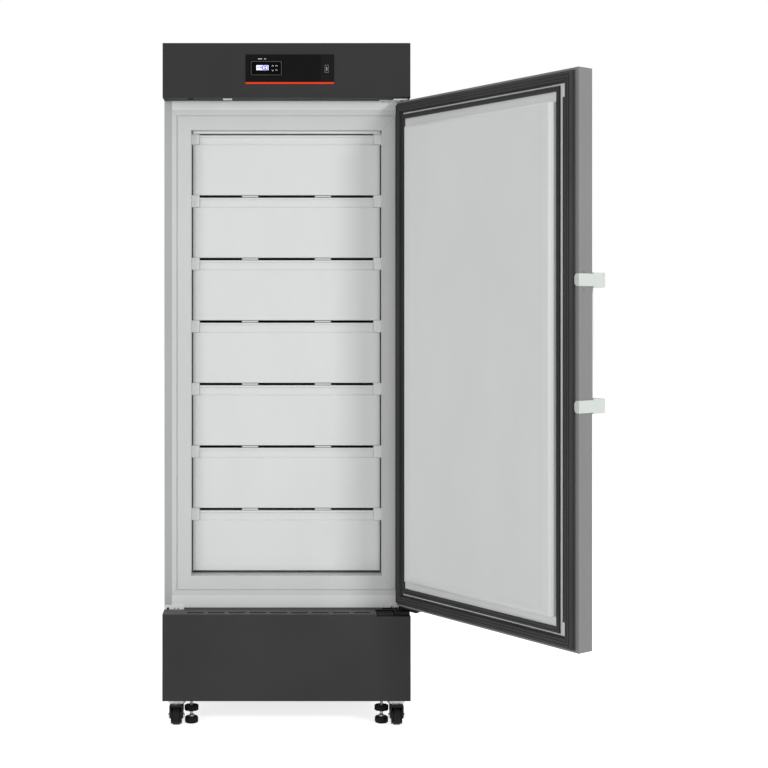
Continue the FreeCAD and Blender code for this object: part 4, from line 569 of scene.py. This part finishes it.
def linerPanel(work):
    loops = [doorLoop(work, insets, height) for height, insets in [doorLiner["back"]] + doorLiner["rings"]]
    joinLoops(work, zip(loops, loops[1:]))
    work.faces.new(loops[0])
    work.faces.new(loops[-1])


linerPiece = finishPiece("doorLinerPanel", meshFrom("doorLinerPanel", linerPanel), "doorLinerPlastic",
                         "door", doorPlace)
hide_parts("door_liner")
print("door liner formed")


# Seams of the face frame and the breaker strip

seams = {"wide": 0.0005, "proud": 0.00008, "stripInner": 0.307, "stripLow": 0.014, "stripHigh": 0.016,
         "besideStrip": 0.0003, "panelThick": 0.00005}


def seamLine(work, start, end):
    # A thin line on the cabinet face between two (x, z) points
    run = Vector((end[0] - start[0], 0, end[1] - start[1]))
    across = Vector((-run.z, 0, run.x)).normalized() * seams["wide"] / 2
    front = faceY - seams["proud"]
    corners = []
    for point in (start, end):
        for side in (1, -1):
            corners.append(Vector((point[0], 0, point[1])) + across * side)
    loop = [corners[0], corners[1], corners[3], corners[2]]
    low = [work.verts.new((c.x, front, c.z)) for c in loop]
    high = [work.verts.new((c.x, faceY, c.z)) for c in loop]
    work.faces.new(low)
    work.faces.new(high)
    for index in range(4):
        following = (index + 1) % 4
        work.faces.new((low[index], low[following], high[following], high[index]))


def frameSeams(work):
    frameLow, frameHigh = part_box("face_frame")
    linerLow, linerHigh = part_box("inner_liner")
    stripLow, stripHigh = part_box("breaker_strip")
    seamLine(work, (frameHigh.x, frameLow.z), (linerHigh.x, linerLow.z))
    seamLine(work, (frameHigh.x, frameHigh.z), (linerHigh.x, linerHigh.z))
    for side in (-1, 1):
        flangeX = side * (stripHigh.x + seams["besideStrip"])
        innerX = side * seams["stripInner"]
        outerX = side * stripHigh.x
        seamLine(work, (flangeX, caseLow.z), (flangeX, caseHigh.z))
        seamLine(work, (innerX, stripLow.z + seams["stripLow"]), (outerX, stripLow.z))
        seamLine(work, (innerX, stripHigh.z - seams["stripHigh"]), (outerX, stripHigh.z))


finishPiece("frameSeams", meshFrom("frameSeams", frameSeams), "seamShadow", "cabinet")


def flangePanels(work):
    # The cross pieces of the front flange are a little paler than its sides, with painted light against their
    # shade
    stripLow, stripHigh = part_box("breaker_strip")
    for low, high in ((caseLow.z, stripLow.z), (stripHigh.z, caseHigh.z)):
        block(work, (stripLow.x, faceY - seams["panelThick"], low), (stripHigh.x, faceY, high))


finishPiece("flangePanels", meshFrom("flangePanels", flangePanels), "flangePaleAndLit", "cabinet")
print("seams drawn")


# Controller: lit display, digits, key marks, bezel line and indicators

display = {"glassWide": 0.0334, "glassTall": 0.0135, "fromLeft": 0.0126, "centreUp": 0.0014,
           "digitTall": 0.0098, "digitWide": 0.0055, "digitGap": 0.0077, "stroke": 0.0021,
           "text": "-40.0", "inked": 0.82, "glassProud": 0.00015, "inkProud": 0.0003, "inkBack": 0.00012,
           "bezelLine": 0.0008, "bezelIn": 0.0018, "bezelProud": 0.00025}
# Lit strokes of each figure: top, upper right, lower right, bottom, lower left, upper left, middle
segments = {"0": "abcdef", "4": "bcfg", "-": "g"}
windowLow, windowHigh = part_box("controller_window")
windowY = windowLow.y
glassLeft = windowLow.x + display["fromLeft"]
glassMid = Vector((glassLeft + display["glassWide"] / 2, windowY,
                   (windowLow.z + windowHigh.z) / 2 + display["centreUp"]))


def lcdGlass(work):
    half = Vector((display["glassWide"] / 2, 0, display["glassTall"] / 2))
    block(work, glassMid - half - Vector((0, display["glassProud"], 0)), glassMid + half, 0.0001)


def stroke(work, x, z, alongX, length):
    thick = display["stroke"]
    halfX = length / 2 if alongX else thick / 2
    halfZ = thick / 2 if alongX else length / 2
    block(work, (x - halfX, windowY - display["inkProud"], z - halfZ),
          (x + halfX, windowY - display["inkBack"], z + halfZ))


def lcdDigits(work):
    tall = display["digitTall"]
    wide = display["digitWide"]
    count = len(display["text"].replace(".", ""))
    x = glassMid.x - (count - 1) * display["digitGap"] / 2
    for sign in display["text"]:
        if sign == ".":
            dotX = x - display["digitGap"] / 2
            stroke(work, dotX, glassMid.z - tall / 2, True, display["stroke"])
            continue
        places = {"a": (0, tall / 2, True), "g": (0, 0, True), "d": (0, -tall / 2, True),
                  "b": (wide / 2, tall / 4, False), "c": (wide / 2, -tall / 4, False),
                  "f": (-wide / 2, tall / 4, False), "e": (-wide / 2, -tall / 4, False)}
        for part in segments[sign]:
            dx, dz, flat = places[part]
            run = display["inked"] * (wide if flat else tall / 2)
            stroke(work, x + dx, glassMid.z + dz, flat, run)
        x += display["digitGap"]


finishPiece("lcdGlass", meshFrom("lcdGlass", lcdGlass), "lcdGlow", "cabinet")
finishPiece("lcdDigits", meshFrom("lcdDigits", lcdDigits), "digitBlue", "cabinet")


def bezelLine(work):
    # Thin bright edge round the controller's bezel
    low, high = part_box("controller_case")
    wide = display["bezelLine"]
    inset = Vector((display["bezelIn"], 0, display["bezelIn"]))
    low, high = low + inset, high - inset
    front = low.y - display["bezelProud"]
    for lowX, highX, lowZ, highZ in (
            (low.x, low.x + wide, low.z, high.z), (high.x - wide, high.x, low.z, high.z),
            (low.x, high.x, low.z, low.z + wide), (low.x, high.x, high.z - wide, high.z)):
        block(work, (lowX, front, lowZ), (highX, low.y, highZ), 0.0001)


finishPiece("bezelLine", meshFrom("bezelLine", bezelLine), "bezelGrey", "cabinet")

# Marks on the four keys as (start, end) strokes, in shares of the key's radius times spread
keyMarks = {
    "button_1": [((-0.5, -0.2), (0.0, 0.35)), ((0.0, 0.35), (0.5, -0.2))],
    "button_2": [((-0.5, -0.2), (-0.3, 0.3)), ((-0.3, 0.3), (0.3, 0.3)), ((0.3, 0.3), (0.5, -0.2))],
    "button_3": [((-0.5, 0.2), (0.0, -0.35)), ((0.0, -0.35), (0.5, 0.2))],
    "button_4": [((-0.5, 0.0), (-0.25, 0.35)), ((-0.25, 0.35), (0.3, 0.3)), ((0.3, 0.3), (0.45, -0.2))],
}
keyInk = {"spread": 1.5, "half": 0.00055, "proud": 0.0001}


def keyMark(work, name):
    low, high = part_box(name)
    reach = (high.x - low.x) / 2 * keyInk["spread"]
    middle = (low + high) / 2
    for start, end in keyMarks[name]:
        a = Vector((middle.x + start[0] * reach, 0, middle.z + start[1] * reach))
        b = Vector((middle.x + end[0] * reach, 0, middle.z + end[1] * reach))
        across = Vector((-(b - a).z, 0, (b - a).x)).normalized() * keyInk["half"]
        loop = [a + across, a - across, b - across, b + across]
        front = [work.verts.new((p.x, low.y - keyInk["proud"], p.z)) for p in loop]
        back = [work.verts.new((p.x, low.y, p.z)) for p in loop]
        work.faces.new(front)
        work.faces.new(back)
        for index in range(4):
            following = (index + 1) % 4
            work.faces.new((front[index], front[following], back[following], back[index]))


# The key marks take the print finish with its painted glow
for keyName in keyMarks:
    finishPiece(f"{keyName}_mark", meshFrom(keyName, lambda w: keyMark(w, keyName)), "keyPrintPaintedGlow",
                keyName)

# Status windows over the controller, each as (left, right) from the middle of the cabinet
indicators = {"lights": ((-0.0781, -0.0671), (-0.0612, -0.0562)), "up": 0.0042, "tall": 0.0018,
              "proud": 0.0002}


def indicatorLights(work):
    low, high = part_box("controller_case")
    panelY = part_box("display_overlay")[0].y
    for left, right in indicators["lights"]:
        foot = high.z + indicators["up"]
        block(work, (left, panelY - indicators["proud"], foot),
              (right, panelY, foot + indicators["tall"]), 0.00008)


finishPiece("indicatorLights", meshFrom("indicatorLights", indicatorLights), "keyPrintPaintedGlow", "cabinet")
print("controller dressed")


# Paler end of the display film, where the data socket sits

filmZone = {"left": 0.0945, "thick": 0.00006, "beforeEnd": 0.0022}


def filmEnd(work):
    low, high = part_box("display_overlay")
    socketLow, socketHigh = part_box("usb_port")
    front = low.y - filmZone["thick"]
    right = high.x - filmZone["beforeEnd"]
    for lowX, highX, lowZ, highZ in (
            (filmZone["left"], socketLow.x, low.z, high.z), (socketHigh.x, right, low.z, high.z),
            (socketLow.x, socketHigh.x, low.z, socketLow.z),
            (socketLow.x, socketHigh.x, socketHigh.z, high.z)):
        block(work, (lowX, front, lowZ), (highX, low.y, highZ))


finishPiece("filmEnd", meshFrom("filmEnd", filmEnd), "smokedFilmPale", "cabinet")


# Data socket

socket = {"rim": 0.0008, "rimIn": 0.0008, "tongueWide": 0.0032, "tongueTall": 0.0102, "back": 0.0006,
          "contactTall": 0.0012, "contactThick": 0.0002, "contactStep": 0.0023, "contactFrom": 0.003,
          "contactTo": 0.009, "rimProud": 0.00012}


def socketTongue(work):
    low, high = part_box("usb_port")
    middle = (low + high) / 2
    front = low.y + socket["back"]
    block(work, (middle.x - socket["tongueWide"] / 2, front, middle.z - socket["tongueTall"] / 2),
          (middle.x + socket["tongueWide"] / 2, high.y - socket["back"],
           middle.z + socket["tongueTall"] / 2), 0.0002)


def socketContacts(work):
    low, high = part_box("usb_port")
    middle = (low + high) / 2
    x = middle.x + socket["tongueWide"] / 2
    for step in (-1.5, -0.5, 0.5, 1.5):
        z = middle.z + step * socket["contactStep"]
        block(work, (x, low.y + socket["contactFrom"], z - socket["contactTall"] / 2),
              (x + socket["contactThick"], low.y + socket["contactTo"], z + socket["contactTall"] / 2))


def socketRim(work):
    # Edge of the metal shell round the slot
    low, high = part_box("usb_port")
    inset = Vector((socket["rimIn"], 0, socket["rimIn"]))
    low, high = low + inset, high - inset
    wide = socket["rim"]
    front = low.y - socket["rimProud"]
    for lowX, highX, lowZ, highZ in (
            (low.x, low.x + wide, low.z, high.z), (high.x - wide, high.x, low.z, high.z),
            (low.x + wide, high.x - wide, low.z, low.z + wide),
            (low.x + wide, high.x - wide, high.z - wide, high.z)):
        block(work, (lowX, front, lowZ), (highX, low.y, highZ))


finishPiece("socketRim", meshFrom("socketRim", socketRim), "socketShell", "cabinet")
nodes["usb_port"].data.materials[0] = materials["controllerPlastic"]
finishPiece("socketTongue", meshFrom("socketTongue", socketTongue), "socketShell", "cabinet")
finishPiece("socketContacts", meshFrom("socketContacts", socketContacts), "zincPlate", "cabinet")
print("socket fitted")


# Accent strip and door sensor at their seen sizes

slim = {"accentDown": 0.0007, "accentTall": 0.0050, "sensorThick": 0.002, "sensorLong": 0.020}


def accentBand(work):
    low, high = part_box("accent_strip")
    top = high.z - slim["accentDown"]
    block(work, (low.x, low.y, top - slim["accentTall"]), (high.x, high.y, top), 0.0003)


def sensorBody(work):
    low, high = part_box("door_sensor")
    block(work, (low.x, low.y, high.z - slim["sensorThick"]),
          (high.x, low.y + slim["sensorLong"], high.z), 0.0005)


accentPiece = finishPiece("accentBand", meshFrom("accentBand", accentBand), "accentFilm", "cabinet")
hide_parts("accent_strip")
sensorPiece = finishPiece("sensorBody", meshFrom("sensorBody", sensorBody), "sensorWhite", "cabinet")
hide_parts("door_sensor")


# Cheeks between the drawer guides and the drawers' set back bands

cheek = {"from": 0.2444, "to": 0.2460, "front": 0.0005, "deep": 0.003, "down": 0.0268, "up": 0.0064}


def guideCheeks(work):
    for number in range(1, 8):
        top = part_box(f"drawer_{number}")[1].z
        for side in (-1, 1):
            ends = sorted((side * cheek["from"], side * cheek["to"]))
            block(work, (ends[0], drawerFace - cheek["front"], top - cheek["down"]),
                  (ends[1], drawerFace - cheek["front"] + cheek["deep"], top + cheek["up"]))


finishPiece("guideCheeks", meshFrom("guideCheeks", guideCheeks),
            slotFinish[nodeSlots["drawer_guides"]], "cabinet")


# Bright front edge of the upper hinge

hingeEdge = {"left": 0.2946, "right": 0.3275, "low": 1.7235, "high": 1.7270, "thick": 0.0008}


def upperHingeEdge(work):
    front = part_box("upper_hinge")[0].y
    block(work, (hingeEdge["left"], front - hingeEdge["thick"], hingeEdge["low"]),
          (hingeEdge["right"], front, hingeEdge["high"]), 0.0002)


finishPiece("upperHingeEdge", meshFrom("upperHingeEdge", upperHingeEdge), "sensorWhite", "cabinet")


# Rib under the pivot arm of the door

rib = {"near": 0.020, "far": 0.062, "half": 0.006, "low": 0.3186, "high": 0.3247}


def armRib(work):
    block(work, (pivot.x - rib["far"], pivot.y - rib["half"], rib["low"]),
          (pivot.x - rib["near"], pivot.y + rib["half"], rib["high"]), 0.0015)


finishPiece("armRib", meshFrom("armRib", armRib), "hingeBlack", "door", doorPlace)
print("small fittings drawn")


# Pale bar under the ceiling as painted light, upstand and dark baffle of the base

shade = {"barHalf": 0.262, "barTall": 0.0066, "barFrom": 0.0196, "barTo": 0.039, "barTop": 1.6470,
         "sheet": 0.0015,
         "upstandLeft": -0.282, "beforeHinge": 0.030, "overlap": 0.0005, "clear": 0.0002,
         "baffleBack": 0.004, "baffleSide": 0.0022, "baffleFoot": 0.0017, "baffleTop": 0.0006}


def ceilingLitBar(work):
    # Front edge of a top plate, in the paler door liner plastic as painted light where the ceiling's front is lit
    top = shade["barTop"]
    block(work, (-shade["barHalf"], faceY + shade["barFrom"], top - shade["barTall"]),
          (shade["barHalf"], faceY + shade["barTo"], top - 0.0001), 0.0012)


def baseUpstand(work):
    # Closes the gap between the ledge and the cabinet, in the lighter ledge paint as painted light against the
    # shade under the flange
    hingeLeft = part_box("lower_hinge")[0].x
    block(work, (shade["upstandLeft"], faceY, baseHigh.z - shade["overlap"]),
          (hingeLeft - shade["beforeHinge"], faceY + shade["sheet"], caseLow.z - 0.0001))


def baseBaffle(work):
    # Sheet round the fan shroud that keeps warm air from running back
    shroudLow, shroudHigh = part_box("fan_shroud")
    front = shroudLow.y + shade["baffleBack"]
    back = front + shade["sheet"]
    half = caseHigh.x - shade["baffleSide"]
    foot = baseLow.z + shade["baffleFoot"]
    roof = caseLow.z - shade["baffleTop"]
    left, right = shroudLow.x - shade["clear"], shroudHigh.x + shade["clear"]
    block(work, (-half, front, foot), (left, back, roof))
    block(work, (right, front, foot), (half, back, roof))
    block(work, (left, front, shroudHigh.z + shade["clear"]), (right, back, roof))


finishPiece("ceilingLitBar", meshFrom("ceilingLitBar", ceilingLitBar), "doorLinerPlastic", "cabinet")
finishPiece("baseUpstand", meshFrom("baseUpstand", baseUpstand), "ledgePaintedLight", "cabinet")
finishPiece("baseBaffle", meshFrom("baseBaffle", baseBaffle), "deepShadow", "cabinet")

pocket = {"left": 0.2440, "right": 0.2955, "front": 0.056, "back": 0.002, "low": 0.0050, "high": 0.0040}


def hingePocket(work):
    # Floor of the recess beside the lower hinge
    block(work, (pocket["left"], faceY - pocket["front"], baseHigh.z - pocket["low"]),
          (pocket["right"], faceY - pocket["back"], baseHigh.z - pocket["high"]))


finishPiece("hingePocket", meshFrom("hingePocket", hingePocket), "deepShadow", "cabinet")
print("base closed")


# Thread guards of the castor wheels and moulded pads of the levelling feet

guard = {"inner": 0.0094, "outer": 0.0232, "slope": 0.0008, "from": 0.0121, "to": 0.0146}
padShape = [(0.0, 0.0), (15.6, 0.0), (17.5, 0.9), (18.4, 3.0), (18.69, 7.0), (18.6, 11.5), (17.9, 14.8),
            (16.2, 16.6), (14.0, 17.0), (4.3, 17.0), (4.3, 9.0), (0.0, 9.0)]


def threadGuards(work):
    for side in (-1, 1):
        turned(work, [(guard["inner"], side * guard["from"]), (guard["outer"], side * guard["from"]),
                      (guard["outer"] - guard["slope"], side * guard["to"]),
                      (guard["inner"], side * guard["to"]),
                      (guard["inner"], side * guard["from"])], 40)


for number in (1, 2, 3, 4):
    wheelLow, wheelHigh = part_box(f"caster_wheel_{number}")
    finishPiece(f"threadGuards{number}", meshFrom("threadGuards", threadGuards), "forkBlack",
                f"wheel_{number}", facing((1, 0, 0), (wheelLow + wheelHigh) / 2))
for side in ("left", "right"):
    padLow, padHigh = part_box(f"foot_pad_{side}")
    middle = (padLow + padHigh) / 2
    pad = finishPiece(f"{side}Pad", meshFrom("footPad", lambda w: turned(
        w, [(r * mm, h * mm) for r, h in padShape], 48)), "footRubber", f"foot_pad_{side}",
        Matrix.Translation((middle.x, middle.y, 0)))
    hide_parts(f"foot_pad_{side}")
print("castors and feet dressed")


# Screws and rivets

screw = {
    "pan": [(0.0, 2.0), (1.4, 1.95), (2.6, 1.5), (3.3, 0.7), (3.5, 0.0), (0.0, 0.0)],
    "hex": [(0.0, 3.4), (3.6, 3.4), (4.4, 3.0), (4.6, 2.6), (4.6, 0.0), (0.0, 0.0)],
    "collar": (1.3, 0.25), "crossReach": 1.7, "crossHalf": 0.32, "crossTop": 2.02, "crossDeep": 0.25,
}


def panHead(work, size=1.0):
    turned(work, [(r * mm * size, h * mm * size) for r, h in screw["pan"]], 24)


def hexHead(work, size=1.0):
    wider, lower = screw["collar"]
    turned(work, [(r * mm * size * wider, h * mm * size * lower) for r, h in screw["hex"][3:]], 24)
    turned(work, [(r * mm * size, h * mm * size) for r, h in screw["hex"]], 6)


def crossRecessShade(work, size=1.0):
    # Shade of the shallow cross recess, painted as two dark bars on the head
    reach, half, top = (screw[part] * mm * size for part in ("crossReach", "crossHalf", "crossTop"))
    low = top - screw["crossDeep"] * mm
    block(work, (-reach, -half, low), (reach, half, top), 0.00005)
    block(work, (-half, -reach, low), (half, reach, top + 0.00001), 0.00005)


def putScrew(name, at, direction, body, kind="pan", size=1.0, finish="zincPlate"):
    place = facing(direction, at)
    build = panHead if kind == "pan" else hexHead
    head = finishPiece(name, meshFrom(name, lambda w: build(w, size)), finish, body, place)
    if kind == "pan":
        # The recess shade is painted in the black nylon finish
        finishPiece(f"{name}_cross", meshFrom(name, lambda w: crossRecessShade(w, size)), "blackNylon", body,
                    place)
    return head


# Places as (x, z) on the cabinet's face, (x, y) under the lower hinge, and x under the upper hinge
screwPlaces = {
    "hingeScrew": (0.292, 0.3215), "rivets": {"leftPin": (-0.268, 0.3212), "rightPin": (0.271, 0.3212)},
    "lowerBolts": ((0.303, -0.338), (0.303, -0.312)), "lowerLevel": 0.318,
    "upperBolts": (0.268, 0.284), "upperY": -0.308, "upperDown": 0.0026,
    "castorX": 0.021, "castorY": 0.026, "castorDown": 0.0025,
}
x, z = screwPlaces["hingeScrew"]
putScrew("lowerHingeScrew", (x, faceY, z), (0, -1, 0), "cabinet")
for pinName, (x, z) in screwPlaces["rivets"].items():
    putScrew(f"{pinName}Rivet", (x, faceY, z), (0, -1, 0), "cabinet", size=0.45)
for index, (x, y) in enumerate(screwPlaces["lowerBolts"]):
    putScrew(f"lowerHingeBolt{index}", (x, y, screwPlaces["lowerLevel"]), (0, 0, 1), "cabinet", "hex", 0.8,
             "hingeBlack")
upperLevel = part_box("upper_hinge")[1].z - screwPlaces["upperDown"]
for index, x in enumerate(screwPlaces["upperBolts"]):
    putScrew(f"upperHingeBolt{index}", (x, screwPlaces["upperY"], upperLevel), (0, 0, -1), "cabinet",
             "pan", 0.8)

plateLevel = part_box("caster_plates")[1].z - screwPlaces["castorDown"]
for joint in frame["joints"]:
    if not joint["name"].endswith("_swivel"):
        continue
    x, y, _ = joint["pos_m"]
    for dx in (-screwPlaces["castorX"], screwPlaces["castorX"]):
        for dy in (-screwPlaces["castorY"], screwPlaces["castorY"]):
            tag = f"{joint['child']}_{'r' if dx > 0 else 'l'}{'b' if dy > 0 else 'f'}"
            putScrew(f"casterBolt_{tag}", (x + dx, y + dy, plateLevel), (0, 0, -1), "cabinet", "hex", 0.62)
print("screws set")


# Handle plugs on the door's free edge

plugs = {"fromInner": 0.018, "aboveBar": (0.0365, -0.0055), "radius": 0.0016, "face": 0.8, "proud": 0.0004}
plugShape = [(0.0, plugs["proud"]), (plugs["radius"] * plugs["face"], plugs["proud"]),
             (plugs["radius"], 0.0), (0.0, 0.0)]
barTop = closedBox("handle_bar")[1].z
for index, above in enumerate(plugs["aboveBar"]):
    place = doorPlace @ facing((-1, 0, 0), (skinLow.x, skinHigh.y - plugs["fromInner"], barTop + above))
    finishPiece(f"edgePlug{index}", meshFrom("edgePlug", lambda w: turned(w, plugShape, 20)),
                "blackNylon", "door", place)
print("plugs set")


# Threads of the levelling feet

thread = {"pitch": 0.0015, "minor": 0.0039, "major": 0.00425, "perTurn": 20, "flank": 0.42,
          "spans": (("Lower", 0.0262, 0.0345), ("Upper", 0.0482, 0.0742))}


def threadMesh(work, low, high):
    steps = int((high - low) / thread["pitch"] * thread["perTurn"])
    previous = None
    for step in range(steps + 1):
        angle = 2 * math.pi * step / thread["perTurn"]
        rise = low + step / thread["perTurn"] * thread["pitch"]
        direction = Vector((math.cos(angle), math.sin(angle), 0))
        half = thread["pitch"] * thread["flank"]
        section = [direction * thread["minor"] + Vector((0, 0, rise - half)),
                   direction * thread["major"] + Vector((0, 0, rise)),
                   direction * thread["minor"] + Vector((0, 0, rise + half))]
        ring = [work.verts.new(point) for point in section]
        if previous:
            for a in range(3):
                b = (a + 1) % 3
                work.faces.new((previous[a], previous[b], ring[b], ring[a]))
        else:
            work.faces.new(ring)
        previous = ring
    work.faces.new(previous)


for side in ("left", "right"):
    stemLow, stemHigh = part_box(f"foot_stem_{side}")
    centre = (stemLow + stemHigh) / 2
    place = Matrix.Translation((centre.x, centre.y, 0))
    for part, low, high in thread["spans"]:
        finishPiece(f"{side}Thread{part}", meshFrom("thread", lambda w: threadMesh(w, low, high), 20),
                    "zincPlate", f"foot_stem_{side}", place)
print("threads cut")


# Light, floor and camera

studio = {
    "worldLight": 0.45, "floorColour": (246, 246, 246), "floorGlow": 0.75,
    "keyPower": 49, "keyPlace": (-2.4, -4.0, 1.9), "keySize": 2.6,
    "fillPower": 52, "fillPlace": (2.58, -3.26, 1.9), "fillSize": 0.3,
    "topPower": 12, "topPlace": (0.2, -0.6, 4.2), "topSize": 3.0,
    "aim": (0.1, -0.2, 0.95),
}


def plainWorld():
    world = bpy.data.worlds.new("studioWorld")
    scene.world = world
    world.use_nodes = True
    tree = world.node_tree
    tree.nodes.clear()
    output = tree.nodes.new("ShaderNodeOutputWorld")
    seen = tree.nodes.new("ShaderNodeBackground")
    lit = tree.nodes.new("ShaderNodeBackground")
    seen.inputs["Strength"].default_value = 1.0
    lit.inputs["Strength"].default_value = studio["worldLight"]
    for node in (seen, lit):
        node.inputs["Color"].default_value = (1, 1, 1, 1)
    mix = tree.nodes.new("ShaderNodeMixShader")
    tree.links.new(viewRay(tree), mix.inputs[0])
    tree.links.new(lit.outputs[0], mix.inputs[1])
    tree.links.new(seen.outputs[0], mix.inputs[2])
    tree.links.new(mix.outputs[0], output.inputs[0])


def viewRay(tree):
    # 1 where a ray comes from the camera, a mirror or glass
    path = tree.nodes.new("ShaderNodeLightPath")
    first = combine(tree, path.outputs["Is Camera Ray"], path.outputs["Is Glossy Ray"], "MAXIMUM")
    return combine(tree, first, path.outputs["Is Transmission Ray"], "MAXIMUM")


def paleFloor():
    bpy.ops.mesh.primitive_plane_add(size=60, location=(0, 0, 0))
    floor = bpy.context.object
    floor.name = "studioFloor"
    material = bpy.data.materials.new("studioFloor")
    material.use_nodes = True
    tree = material.node_tree
    tree.nodes.clear()
    output = tree.nodes.new("ShaderNodeOutputMaterial")
    paint = tree.nodes.new("ShaderNodeBsdfDiffuse")
    paint.inputs["Color"].default_value = screenColour(*studio["floorColour"])
    glow = tree.nodes.new("ShaderNodeEmission")
    strength = combine(tree, viewRay(tree), studio["floorGlow"], "MULTIPLY")
    tree.links.new(strength, glow.inputs["Strength"])
    add = tree.nodes.new("ShaderNodeAddShader")
    tree.links.new(paint.outputs[0], add.inputs[0])
    tree.links.new(glow.outputs[0], add.inputs[1])
    tree.links.new(add.outputs[0], output.inputs[0])
    floor.data.materials.append(material)


def softLight(name, power, place, size):
    lamp = bpy.data.lights.new(name, "AREA")
    lamp.energy = power
    lamp.size = size
    thing = bpy.data.objects.new(name, lamp)
    scene.collection.objects.link(thing)
    thing.location = place
    thing.rotation_euler = (Vector(studio["aim"]) - Vector(place)).to_track_quat("-Z", "Y").to_euler()


plainWorld()
paleFloor()
softLight("keyLight", studio["keyPower"], studio["keyPlace"], studio["keySize"])
softLight("fillLight", studio["fillPower"], studio["fillPlace"], studio["fillSize"])
softLight("topLight", studio["topPower"], studio["topPlace"], studio["topSize"])

view = {"lens": 62.81, "sensor": 36.0, "place": (0.0, -4.030, 1.1321), "shift": (0.12695, -0.0899)}
cameraData = bpy.data.cameras.new("photoCamera")
cameraData.lens = view["lens"]
cameraData.sensor_width = view["sensor"]
cameraData.shift_x, cameraData.shift_y = view["shift"]
cameraData.clip_end = 100
camera = bpy.data.objects.new("photoCamera", cameraData)
scene.collection.objects.link(camera)
camera.location = view["place"]
camera.rotation_euler = (math.radians(90), 0, 0)
scene.camera = camera
scene.view_settings.view_transform = "Standard"
print("studio ready")
